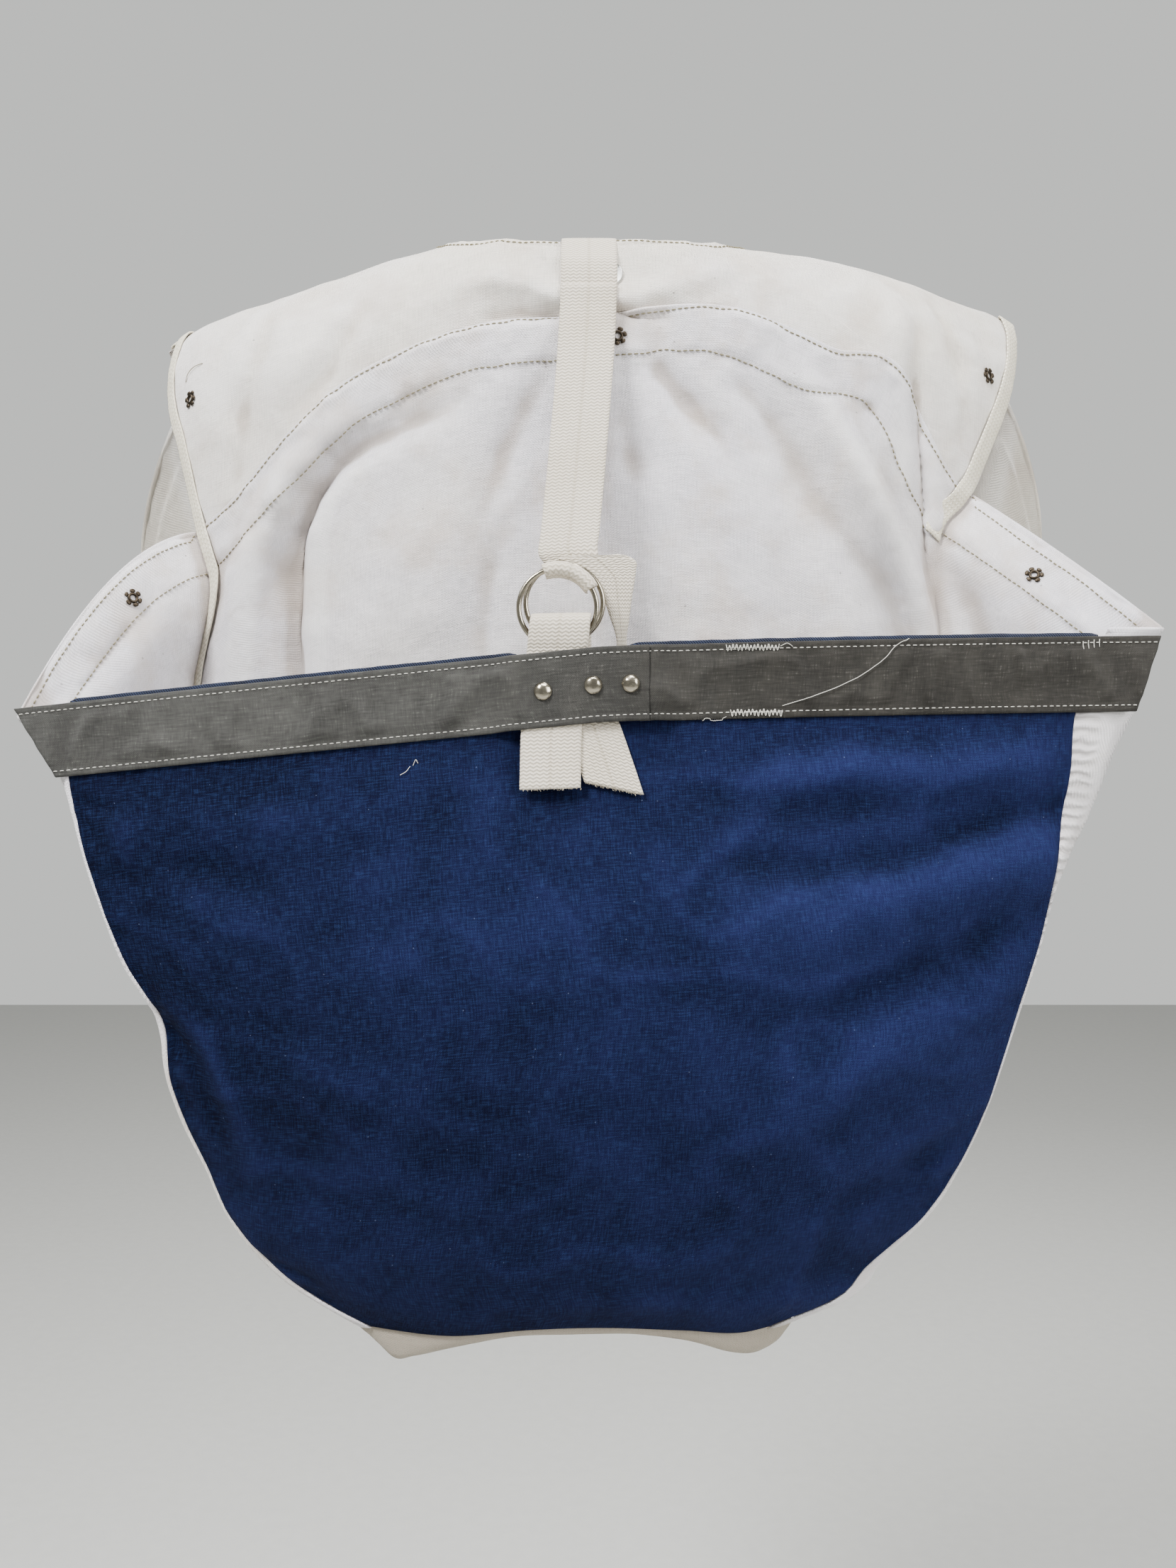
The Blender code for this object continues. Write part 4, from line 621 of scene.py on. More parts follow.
def add_cloth(name, grid, thick, finish, stands_for=(), loop=False, mirror=False, flat=None):
    """A cloth wall about a grid of points whose rows run down and columns to the right.

    Its edges are rounded. thick is one thickness or one for each point, and flat is the cloth's own map.
    """
    rows, columns = grid.shape[:2]
    normals = grid_normals(grid, loop)
    half = np.broadcast_to(np.asarray(thick, float) / 2, (rows, columns))[..., None]
    front, back = grid - normals * half, grid + normals * half
    points = [front.reshape(-1, 3), back.reshape(-1, 3)]
    flat = cloth_map(grid, loop) if flat is None else flat
    corners, uvs = [], []
    size = rows * columns
    last = columns if loop else columns - 1
    r, c = np.meshgrid(np.arange(rows - 1), np.arange(last), indexing="ij")
    r, c = r.ravel(), c.ravel()
    d = (c + 1) % columns
    front_faces = np.stack([r * columns + c, (r + 1) * columns + c, (r + 1) * columns + d, r * columns + d], 1)
    front_uvs = np.stack([flat[r, c], flat[r + 1, c], flat[r + 1, c + 1], flat[r, c + 1]], 1)
    corners += [front_faces, front_faces[:, ::-1] + size]
    uvs += [front_uvs, front_uvs[:, ::-1]]
    count = 2 * size

    def rim(row_index, column_index, outward, closed):
        """A rounded rim along one edge; outward is where the edge faces."""
        nonlocal count
        index = row_index * columns + column_index
        middle = grid[row_index, column_index] + outward * half[row_index, column_index] * 0.8
        points.append(middle)
        centre = count + np.arange(len(index))
        count += len(index)
        place = flat[row_index, column_index]
        a = np.arange(len(index) if closed else len(index) - 1)
        b = (a + 1) % len(index)
        corners.append(np.stack([index[a], index[b], centre[b], centre[a]], 1))
        corners.append(np.stack([centre[a], centre[b], index[b] + size, index[a] + size], 1))
        uvs.extend([np.stack([place[a], place[b], place[b], place[a]], 1)] * 2)
        return centre

    ends = np.arange(columns)
    down = grid[-1] - grid[-2]
    up = grid[0] - grid[1]
    first_rim = rim(np.zeros(columns, int), ends, up / np.linalg.norm(up, axis=1, keepdims=True), loop)
    last_rim = rim(np.full(columns, rows - 1), ends[::-1],
                   (down / np.linalg.norm(down, axis=1, keepdims=True))[::-1], loop)
    if not loop:
        ups = np.arange(rows)
        right = grid[:, -1] - grid[:, -2]
        left = grid[:, 0] - grid[:, 1]
        left_rim = rim(ups[::-1], np.zeros(rows, int),
                       (left / np.linalg.norm(left, axis=1, keepdims=True))[::-1], False)
        right_rim = rim(ups, np.full(rows, columns - 1),
                        right / np.linalg.norm(right, axis=1, keepdims=True), False)
        for a, b, index in ((first_rim[-1], right_rim[0], columns - 1),
                            (right_rim[-1], last_rim[0], size - 1),
                            (last_rim[-1], left_rim[0], size - columns),
                            (left_rim[-1], first_rim[0], 0)):
            place = flat[index // columns, index % columns]
            corners += [np.array([[index, b, a, a]]), np.array([[index + size, a, b, b]])]
            uvs += [np.broadcast_to(place, (1, 4, 2))] * 2
    points = np.concatenate(points)
    corners = np.concatenate(corners)
    uvs = np.concatenate(uvs)
    if mirror:
        points = points * (1, -1, 1)
        corners, uvs = corners[:, ::-1], uvs[:, ::-1]
    faces, places_on_cloth = [], []
    for face, uv in zip(corners.tolist(), uvs):
        kept = [i for i in range(4) if face[i] != face[i - 1]]
        faces.append([face[i] for i in kept])
        places_on_cloth.append(uv[kept])
    piece = add_piece(name, points, faces, np.concatenate(places_on_cloth), finish, stands_for)
    # The Hollow attribute is how far the cloth lies behind its surroundings; the finishes use it to paint shade
    # into hollows and a highlight onto swells.
    sunk = np.zeros(len(points), np.float32)
    if min(rows, columns) > 20:
        behind = hollows(grid, HOLLOW_REACH, loop).ravel()
        sunk[:size], sunk[size:2 * size] = behind, -behind
    piece.data.attributes.new("Hollow", "FLOAT", "POINT").data.foreach_set("value", sunk)
    return piece


def seam_place(half, s, below):
    """(x, z) along the seam, or a distance below it, from the left armhole to the right one."""
    left, right = half.arch[0].z - below, half.arch[-1].z - below
    x = blend(read(half.sides, "z", "left", left), read(half.sides, "z", "right", right), s)
    z = np.where(s <= 0, left, np.where(s >= 1, right, read(half.arch, "x", "z", x) - below))
    return x, z


def neck_edge(angle):
    """The neck opening's edge as (x, turn), at an angle about the opening's middle."""
    x = NECK_HALF_WIDTH * np.sign(np.cos(angle)) * np.abs(np.cos(angle)) ** 0.85
    return x, np.where(np.sin(angle) < 0, NECK_FRONT_TURN, NECK_REAR_TURN) * np.sin(angle)


def signed_body_point(x, turn):
    """Points over both halves: turn is below 0 in front of the shoulder line and above 0 behind it."""
    front = body_point(FRONT, x, np.maximum(-turn, 0.0))
    rear = body_point(REAR, x, np.maximum(turn, 0.0)) * (1, -1, 1)
    return np.where((turn <= 0)[..., None], front, rear)


def armhole_places(half, column, count):
    """(x, z) down the armhole edge, from the shoulder line to the seam."""
    top = shoulder_z(read(half.sides, "z", column, half.sides[0].z))
    seam = half.arch[-1 if column == "right" else 0].z
    z = blend(top, seam, np.linspace(0, 1, count + 1) ** 1.7)
    return read(half.sides, "z", column, z), z


def yoke_outline():
    """The yoke's outer edge as (x, turn) and the angle of the neck edge across from each of its places."""
    corner = math.radians(38)
    xs, turns, angles = [], [], []

    def add(half, x, z, angle):
        turn = turn_at(x, z)
        xs.append(x)
        turns.append(-turn if half is FRONT else turn)
        angles.append(angle)

    s = np.arange(FRONT_SPLIT) / FRONT_SPLIT
    add(FRONT, *seam_place(FRONT, s, 0.0), blend(math.pi + corner, 2 * math.pi - corner, s))
    share = np.arange(ARMHOLE_SPLIT) / ARMHOLE_SPLIT
    x, z = armhole_places(FRONT, "right", ARMHOLE_SPLIT)
    add(FRONT, x[::-1][:-1], z[::-1][:-1], -corner * (1 - share))
    x, z = armhole_places(REAR, "right", ARMHOLE_SPLIT)
    add(REAR, x[:-1], z[:-1], corner * share)
    s = np.arange(REAR_SPLIT) / REAR_SPLIT
    add(REAR, *seam_place(REAR, 1 - s, 0.0), blend(corner, math.pi - corner, s))
    x, z = armhole_places(REAR, "left", ARMHOLE_SPLIT)
    add(REAR, x[::-1][:-1], z[::-1][:-1], math.pi - corner * (1 - share))
    x, z = armhole_places(FRONT, "left", ARMHOLE_SPLIT)
    add(FRONT, x[:-1], z[:-1], math.pi + corner * share)
    return np.concatenate(xs), np.concatenate(turns), np.concatenate(angles)


def make_yoke():
    """The canvas over both shoulders, in rings from the neck opening's edge to the outer edge."""
    x, turn, angle = yoke_outline()
    inner_x, inner_turn = neck_edge(angle)
    shares = np.concatenate([[0, 0.006, 0.014, 0.022, 0.030, 0.040], np.linspace(0.055, 1, YOKE_RINGS)])
    xs = blend(inner_x, x, shares[:, None])
    turns = blend(inner_turn, turn, shares[:, None])
    grid = signed_body_point(xs, turns)
    edge = np.linalg.norm(grid - grid[:1], axis=2)
    outer = np.linalg.norm(grid - grid[-1:], axis=2)
    rise = 0.0018 * crumple(grid, 0.045, 1, (1.0, 1.0, 2.0)) + 0.0007 * crumple(grid, 0.016, 2)
    rise += 0.0010 * creases(grid, 0.050, 5, (1.3, 1.0, 1.0))
    rise += 0.0009 * crumple(grid, 0.011, 3) * np.exp(-outer / 0.010) * (turns < 0)
    rise -= 0.0005 * bell(edge, NECK_HEM, 0.0012)
    rise -= 0.0004 * crumple(grid, 0.006, 4) * np.exp(-edge / 0.006)
    grid = puffed(grid, -rise * ease(outer, 0.0, 0.004), loop=True)
    thick = CANVAS * blend(0.75, 1.35, 1 - ease(edge, NECK_HEM, NECK_HEM + 0.0012))
    flat = np.stack([xs, -turns * 0.13], axis=-1)
    flat = np.concatenate([flat, flat[:, :1]], axis=1)
    yoke = add_cloth("yoke_cloth", grid, thick, canvas("yoke_canvas", warm=0.35), ["yoke"],
                     loop=True, flat=flat)
    normals = grid_normals(grid, True)
    at = int(np.argmin(np.abs(edge.mean(axis=1) - NECK_HEM)))
    line = np.concatenate([grid[at], grid[at][:1]]), np.concatenate([normals[at], normals[at][:1]])
    hem = sew("neck_stitches", [(line[0] - line[1] * CANVAS * 0.6, -line[1])], seam_thread())
    return grid


def turned_round(lines):
    """Lines of stitches and their ways out, moved from the front half to the rear one."""
    return [(line * (1, -1, 1), out * (1, -1, 1)) for line, out in lines]


def hem_levels(count):
    """How far below the seam the pouch's rows are, and the share of the rest of the way down."""
    hem = np.array([HEM_EDGE, -0.0006, 0.0, HEM_STITCH, 0.0014, 0.0026, 0.0038, HEM_STITCH_GUSSET, 0.0056, 0.0075,
                    0.0100, 0.0125, 0.0150, 0.0175, 0.0200, 0.0218, 0.0228, HEM_LOWER_STITCH, 0.0244,
                    0.0256, 0.0275, HEM_END])
    rest = np.linspace(0, 1, count + 1)[1:] ** 1.12
    return np.concatenate([hem, np.full(count, HEM_END)]), np.concatenate([np.zeros(len(hem)), rest])


def chest_rows(half, below, share, count):
    """The wall on the chest, from the left gusset's fold to the right one's."""
    s = np.linspace(0, 1, count + 1)[None, :]
    left_top, right_top = half.arch[0].z, half.arch[-1].z
    left = blend(left_top - below, CHEST_BOTTOM_Z, share)[:, None]
    right = blend(right_top - below, CHEST_BOTTOM_Z, share)[:, None]
    x = blend(read(half.sides, "z", "left", left), read(half.sides, "z", "right", right), s)
    top_x = blend(read(half.sides, "z", "left", left_top), read(half.sides, "z", "right", right_top), s)
    top = read(half.arch, "x", "z", top_x)
    top = np.where(s <= 0, left_top, np.where(s >= 1, right_top, top))
    z = blend(top - below[:, None], CHEST_BOTTOM_Z, share[:, None])
    wander = crumple(places(x, 0, 0.5 * below[:, None]), 0.012, 14)
    z = z + 0.0011 * wander * ease(below[:, None], 0.0, 0.0012) * (1 - ease(below[:, None], 0.0236, 0.0300))
    return lifted(lambda a, b: chest_point(half, a, b), x, z, POUCH_LIFT), below[:, None] + 0 * s


def gusset_rows(half, right, below, share, side, count):
    """The gusset, from the front wall's edge, round the outer fold, to the chest wall."""
    sign = 1 if right else -1
    column = "right" if right else "left"
    bottom = half.panel[-1].z
    z = blend(MOUTH_Z - np.maximum(below, 0.0), bottom, share)[:, None]
    down = (z - MOUTH_Z) / (bottom - MOUTH_Z)
    above = GUSSET_ABOVE_MOUTH[right] * (1 - ease(down, 0.0, 0.03)) - np.minimum(below, 0.0)[:, None]
    edge = read(half.panel, "z", column, z + above) + sign * GUSSET_CLEAR[half.name]
    out = read(half.corners, "share", column, down)
    back = read(half.corners, "share", "back", down)
    lift = places(0, 0, above)
    wall = panel_point(half, edge, z) + lift
    fold = panel_point(half, edge + sign * out, z) + lift + places(0, back, 0)
    t = np.linspace(0, 1, 5)[None, :-1, None]
    strip = blend(wall, fold, t) - places(0, back * 1.6, 0) * t * (1 - t)
    t = np.linspace(0, 1, count + 1)[None, :-1, None]
    bow = 4 * t * (1 - t)
    rise = half.bow[right] * (1 - ease(down, 0.0, 0.35))[..., None]
    flare = half.flare[right] * (1 - ease(down, 0.1, 0.5))[..., None]
    wall = blend(fold, side[:, None], t)
    wall = wall + bow * flare * np.array((sign, 0, 0)) + bow * rise * np.array((0, 0, 1))
    return np.concatenate([strip, wall], axis=1)


def make_pouch(half):
    """The white canvas of a pouch: the wall on the chest and both gussets, one sheet bent round."""
    count, rows, across = (176, 84, 34) if half is FRONT else (80, 40, 20)
    below, share = hem_levels(rows)
    chest, level = chest_rows(half, below, share, count)
    left = gusset_rows(half, False, below, share, chest[:, 0], across)
    right = gusset_rows(half, True, below, share, chest[:, -1], across)
    grid = np.concatenate([left, chest, right[:, ::-1]], axis=1)
    level = np.broadcast_to(below[:, None] + share[:, None] * 0.3, grid.shape[:2])
    column = np.broadcast_to(np.arange(grid.shape[1])[None, :], grid.shape[:2])
    side = left.shape[1]
    inside = ease(column, 0, 6) * (1 - ease(column, grid.shape[1] - 7, grid.shape[1] - 1))
    on_gusset = 1 - ease(column, side - 2, side) * (1 - ease(column, side + count, side + count + 2))
    rise = 0.0018 * crumple(grid, 0.042, 11, (1.0, 1.0, 1.8)) + 0.0006 * crumple(grid, 0.014, 12)
    rise += 0.0009 * creases(grid, 0.060, 15, (1.0, 1.0, 1.6))
    rise += 0.0010 * on_gusset * crumple(grid, 0.030, 17, (1.0, 1.0, 2.0))
    for stitch in (HEM_STITCH, HEM_LOWER_STITCH):
        rise -= 0.0008 * bell(level, stitch, 0.0018)
        rise += 0.0015 * crumple(grid, 0.009, 13) * bell(level, stitch, 0.007)
    rise += 0.0007 * (1 - ease(level, HEM_LOWER_STITCH, HEM_LOWER_STITCH + 0.0022))
    if half is FRONT:
        x, z = grid[..., 0], grid[..., 2]
        rise += fold_rise(GUSSET_FOLDS, x, z) * on_gusset
    grid = puffed(grid, -rise * inside * ease(share[:, None] * 3 + (level - HEM_EDGE) * 60, 0.0, 0.25))
    thick = CANVAS * (1 + 0.25 * (1 - ease(level, HEM_LOWER_STITCH, HEM_LOWER_STITCH + 0.002)))
    name = f"{half.name}_pouch"
    finish = canvas("pouch_canvas", warm=0.0 if half is FRONT else 0.6, puckers=half is FRONT)
    pouch = add_cloth(f"{name}_cloth", grid, thick, finish, [name], mirror=half is REAR)
    normals = grid_normals(grid)
    lines = []
    upper = int(np.argmin(np.abs(below - HEM_STITCH)))
    gusset_upper = int(np.argmin(np.abs(below - HEM_STITCH_GUSSET)))
    lower = int(np.argmin(np.abs(below - HEM_LOWER_STITCH)))
    row = np.where(on_gusset[0] > 0.5, gusset_upper, upper)
    index = np.arange(4, grid.shape[1] - 4)
    for at in (row[index], np.full(len(index), lower)):
        line, normal = grid[at, index], normals[at, index]
        lines.append((line - normal * thick[0, 0] * 0.5, -normal))
    if half is REAR:
        lines = turned_round(lines)
    stitches = sew(f"{name}_stitches", lines, seam_thread())
    return grid


def panel_foot(half, x, z):
    """How far the blue wall's lower edge rises or dips, fading out above it."""
    if half is not FRONT:
        return 0 * x
    return read(PANEL_FOOT, "x", "rise", x) * ease(-z, 0.570, 0.6155)


def make_panel(half):
    """The blue front wall of a pouch."""
    columns, rows = (176, 120) if half is FRONT else (60, 46)
    z = np.linspace(PANEL_TOP_Z, half.panel[-1].z, rows + 1)[:, None]
    left, right = read(half.panel, "z", "left", z), read(half.panel, "z", "right", z)
    x = blend(left, right, np.linspace(0, 1, columns + 1)[None, :])
    grid = panel_point(half, x, z + 0 * x) + places(0, 0, panel_foot(half, x, z))
    edge = np.minimum(x - left, right - x)
    soft = ease(-z, 0.300, 0.330) * ease(-half.panel[-1].z + z, 0.0, 0.02)
    rise = 0.0022 * crumple(grid, 0.070, 21, (1.6, 1.0, 1.0)) + 0.0010 * crumple(grid, 0.026, 22)
    rise += 0.0011 * creases(grid, 0.040, 23, (1.5, 1.0, 1.0))
    rise += 0.0013 * crumple(grid, 0.016, 24, (1.0, 1.0, 0.7)) * np.exp(-np.maximum(edge, 0) / 0.012)
    rise -= 0.0012 * np.exp(-np.maximum(edge, 0) / 0.003)
    grid = puffed(grid, -rise * soft * ease(edge, -0.001, 0.003))
    name = f"{half.name}_panel"
    panel = add_cloth(f"{name}_cloth", grid, PANEL_CLOTH, blue_cloth(), [name],
                      mirror=half is REAR)
    return grid


def make_bottom(half, pouch):
    """The white bottom, a shallow bowl between the walls' lower edges, lowest at its front corners."""
    last = pouch[-1]
    side = 4 + (34 if half is FRONT else 20)
    fold_left, fold_right = last[4], last[-5]
    left, right = blend(last[0], fold_left, 0.8), blend(last[-1], fold_right, 0.8)
    chest = last[side:len(last) - side]
    count = 28
    columns = len(chest) - 1
    s = np.linspace(0, 1, columns + 1)[None, :]
    w = np.linspace(0, 1, count + 1)[:, None]
    front_x = blend(left[0], right[0], s)
    foot = half.panel[-1].z
    front = panel_point(half, front_x, np.full(front_x.shape, foot))
    front = front + places(0, 0, panel_foot(half, front_x, foot))
    inward = np.clip((1 - np.abs(2 * s - 1) ** 6) * (1 - np.abs(2 * w - 1) ** 3), 0, 1)
    fuller = ease(w, 0.0, 0.10) * (1 - ease(w, 0.30, 1.0))
    sag = read(BOTTOM_SAG, "share", "drop", s) * fuller + 0.005 * inward ** 0.5
    behind = places(0, PANEL_CLOTH / 2 + GAP + CANVAS / 2, 0)
    joined = ease(w, 0.0, 0.06)
    grid = blend(front, chest[None], w[..., None]) + behind * (1 - joined)[..., None]
    grid = grid - places(0, 0, sag + (GAP + CANVAS / 2) * joined)
    tuck = [grid[:1] + places(0, 0, up) for up in (0.0032, 0.0016)]
    grid = np.concatenate([*tuck, grid])
    inward = np.concatenate([0 * inward[:2], inward])
    grid = puffed(grid, 0.0010 * crumple(grid, 0.020, 31) * inward)
    name = f"{half.name}_bottom"
    # The bottom's cloth is made much darker all over than the walls.
    bottom = add_cloth(f"{name}_cloth", grid, CANVAS, canvas("bottom_canvas", warm=0.5, soiled=1.5),
                       [name], mirror=half is REAR)


def band_lift(half, x):
    """How far the band's middle lies from the middle of the blue wall's cloth."""
    lift = PANEL_CLOTH / 2 + 1.5 * GAP + BAND_CLOTH / 2 + 0 * x
    if half is FRONT:
        over_left = ease(x, LOOP_LEFT - LOOP_SOFT, LOOP_LEFT)
        lift = lift + LOOP_STACK * over_left * (1 - ease(x, LOOP_RIGHT, LOOP_RIGHT + LOOP_SOFT))
    return lift


def band_grid(half, first, last, columns, rows, under=False):
    """The band between two places along the mouth, and how far down it each point is."""
    below = np.linspace(0, BAND_HEIGHT, rows + 1)[:, None]
    place = np.linspace(first, last, columns + 1)[None, :]
    end = np.where(place < 0, -read(BAND_ENDS, "below", "left", below),
                   read(BAND_ENDS, "below", "right", below))
    x = blend(place, place * end / MOUTH_CORNER, ease(np.abs(place), 0.06, MOUTH_CORNER))
    lift = band_lift(half, x)
    if under:
        lift = lift - (BAND_CLOTH + GAP) * (1 - ease(x, BAND_LAP_X, BAND_LAP_X + 0.004))
    edge = np.abs(read_side(half.panel, "z", x, MOUTH_Z - below))
    lift = lift + 0.0003 * ease(np.abs(x), edge - 0.01, edge)
    grid = lifted(lambda a, b: panel_point(half, a, b), x, MOUTH_Z - below + 0 * x, lift)
    return grid, below + 0 * x, x


def make_band(name, half, first, last, columns, stands_for, under=False):
    """One piece of the grey band, with its stitches near both edges."""
    grid, below, x = band_grid(half, first, last, columns, 26, under)
    sewn = np.minimum(below - BAND_STITCH, BAND_HEIGHT - BAND_STITCH - below)
    free = ease(sewn, 0.0, 0.006)
    flat_here = 1 - 0.75 * ease(x, -0.040, -0.030) * (1 - ease(x, 0.028, 0.034))
    rise = 0.0016 * flat_here * free * crumple(grid, 0.014, 41, (1.0, 1.0, 2.6))
    rise += 0.0019 * flat_here * free * creases(grid, 0.024, 42, (1.0, 1.0, 2.2))
    rise += 0.0009 * flat_here * crumple(grid, 0.006, 43, (0.8, 1.0, 3.0))
    for stitch in (BAND_STITCH, BAND_HEIGHT - BAND_STITCH):
        rise -= 0.00035 * bell(below, stitch, 0.0012)
    rise = np.maximum(rise, -0.0003)
    grid = puffed(grid, -rise)
    band = add_cloth(name, grid, BAND_CLOTH, grey_tape(), stands_for, mirror=half is REAR)
    normals = grid_normals(grid)
    rows = [int(np.argmin(np.abs(below[:, 0] - at))) for at in (BAND_STITCH, BAND_HEIGHT - BAND_STITCH)]
    runs = [(grid[row] - normals[row] * BAND_CLOTH * 0.5, -normals[row]) for row in rows]
    if half is REAR:
        runs = turned_round(runs)
    stitches = sew(f"{name}_stitches", runs, white_thread(), radius=BAND_THREAD, share=0.62)
    return grid


def make_mouth_edge(name, half, first, last):
    """The blue wall's turned upper edge, a low round fold of navy twill that stands above the band."""
    count = 150
    x = np.linspace(first, last, count + 1)
    middle = panel_point(half, x, np.full(x.shape, PANEL_TOP_Z))
    ends = ease(x - first, 0.0, 0.004) * (1 - ease(x - last, -0.004, 0.0))
    swell = (0.85 + 0.15 * crumple(middle, 0.010, 51)) * (0.35 + 0.65 * ends)
    rows = []
    for angle in np.linspace(-75, 255, 14):
        turn = math.radians(angle)
        high = 0.0032 + 0.0026 * math.sin(turn) if math.sin(turn) > 0 else 0.0032 + 0.0010 * math.sin(turn)
        rows.append(middle + places(0, -0.0011 * math.cos(turn) * swell, high * (0.7 + 0.3 * swell)))
    grid = np.array(rows)[::-1]
    edge = add_cloth(name.replace("mouth_edge", "mouth_fold"), grid, 0.0007, navy_edge(), [name],
                     mirror=half is REAR)
    return edge


def tape_points(edge, inner, down, width, lift, count):
    """Rows across a tape that lies along an edge, lifted off the cloth between edge and inner."""
    inward = (inner - edge) / np.linalg.norm(inner - edge, axis=1, keepdims=True)
    normal = np.cross(inward, down)
    normal /= np.linalg.norm(normal, axis=1, keepdims=True)
    outside = edge - edge * (0, 0.5, 0) + (0, 0, 0.35)
    facing = np.sum(normal * outside, axis=1, keepdims=True)
    normal = np.where(facing < 0, -normal, normal)
    share = np.linspace(0, 1, count)[None, :, None]
    crown = 0.0003 * (1 - (2 * share - 1) ** 2)
    return edge[:, None] + inward[:, None] * (TAPE_INSET + share * width) + normal[:, None] * (lift + crown)


def make_armhole_tape(name, right, width, pouch, yoke, ends, side):
    """The cream tape along an armhole edge, from inside the front pouch over the shoulder to the rear seam."""
    lift = CANVAS / 2 + 2.2 * GAP + TAPE_CLOTH / 2
    column = pouch.shape[1] - 1 - side if right else side
    beside = column - 6 if right else column + 6
    rows = np.arange(2, ends)
    line, inner = pouch[rows, column], pouch[rows, beside]
    on_pouch = tape_points(line, inner, np.gradient(line, axis=0), width, lift, 9)
    outer = yoke[-1]
    near = yoke[-5]
    first = FRONT_SPLIT if right else FRONT_SPLIT + 2 * ARMHOLE_SPLIT + REAR_SPLIT
    index = (np.arange(first + 1, first + 2 * ARMHOLE_SPLIT - 1)) % outer.shape[0]
    line = outer[index]
    on_yoke = tape_points(line, near[index], np.gradient(line, axis=0), width, lift, 9)
    parts = [on_pouch[::-1], on_yoke] if right else [on_yoke, on_pouch]
    grid = np.concatenate(parts)
    smooth = through(grid[::4], len(grid))
    smooth = puffed(smooth, 0.0003 * crumple(smooth, 0.006, 61))
    tape = add_cloth(f"{name}_cloth", smooth[:, ::-1], TAPE_CLOTH, cream_tape(), [name])
    return tape


def ribbon(path, columns=9):
    """Rows across a flat band of webbing; path has (x, y, z, lean), lean its turn in its own plane."""
    path = np.asarray(path, float)
    turn = np.radians(path[:, 3])
    side = places(np.cos(turn), 0, np.sin(turn)) * WEBBING_WIDTH / 2
    return path[:, None, :3] + side[:, None] * np.linspace(-1, 1, columns)[None, :, None]


def add_webbing(name, grid, count, stands_for):
    """Webbing through rows of points, with soft selvedges."""
    grid = through(grid, count)
    columns = through(grid.transpose(1, 0, 2), 17).transpose(1, 0, 2)
    share = np.linspace(-1, 1, 17)[None, :]
    thick = WEBBING_THICK * (1 - 0.35 * np.abs(share) ** 6) * np.ones((count, 1))
    run = np.concatenate([[0], np.cumsum(np.linalg.norm(np.diff(columns.mean(axis=1), axis=0), axis=1))])
    flat = places(share * WEBBING_WIDTH / 2 + 0 * run[:, None], -run[:, None] + 0 * share, 0)[..., :2]
    piece = add_cloth(name, columns, thick, webbing(), stands_for, flat=flat)
    return columns


def make_strap():
    """The cream strap from inside the neckline to the rings, wrapped round the front one."""
    path = []
    for ride in STRAP_RIDE:
        turn = np.array(ride.turn)
        place = body_point(PLAIN_FRONT, np.array(0.0006), turn)
        step = 0.03
        below = body_point(PLAIN_FRONT, np.array(0.0006), turn + step)
        down = below - body_point(PLAIN_FRONT, np.array(0.0006), turn - step)
        normal = np.array((0.0, -down[2], down[1]))
        normal = -normal / np.linalg.norm(normal)
        normal = normal if normal[1] < 0 else -normal
        x, y, z = place + normal * ride.lift
        path.append((0.0006, y, z, 0))
    path += [tuple(way) for way in STRAP_WAY]
    grid = ribbon(path, 9)
    end = grid[-1]
    spread = np.linspace(-1, 1, 9)
    angle = np.radians(WRAP_MIDDLE + spread * WRAP_SPREAD)
    rows = list(grid)
    for wrap in STRAP_WRAP:
        middle = blend(np.array(RING_REAR), np.array(RING_FRONT), wrap.toward)
        x = blend(end[:, 0], middle[0] + wrap.distance * np.sin(angle), wrap.taken)
        z = blend(end[:, 2] - 0.005, middle[2] + wrap.distance * np.cos(angle), wrap.taken)
        rows.append(places(x, wrap.y, z))
    return add_webbing("strap_webbing", np.array(rows), 220, ["strap"])


def make_strap_tail():
    shares = np.linspace(0, 1, 7)
    rows = [[(blend(flap.left, flap.right, s), flap.y, flap.z) for s in shares] for flap in STRAP_TAIL]
    return add_webbing("strap_end_webbing", np.array(rows), 60, ["strap_tail"])


def make_ring_loop():
    """The loop of webbing through both rings, with a tail either side under the band."""
    legs = []
    for leg_rows in (LEFT_LEG, RIGHT_LEG):
        run = ribbon([(leg.x, 0, leg.z, leg.lean) for leg in leg_rows], 9)
        for row, leg in zip(run, leg_rows):
            off = PANEL_CLOTH / 2 + (leg.layer - 0.5) * WEBBING_THICK + (leg.layer + 1) * GAP
            row[:, 1] = panel_point(PLAIN_FRONT, row[:, 0], row[:, 2])[:, 1] - off
        legs.append(run)
    grid = np.concatenate([legs[0], ribbon([tuple(way) for way in LOOP_WAY], 9), legs[1]])
    made = add_webbing("ring_loop_webbing", grid, 260, ["ring_loop"])
    fray("left_tail_fibres", made[0], (0.0, 0.0, -1.0), 71)
    fray("right_tail_fibres", made[-1], (0.2, 0.0, -1.0), 72)
    return made


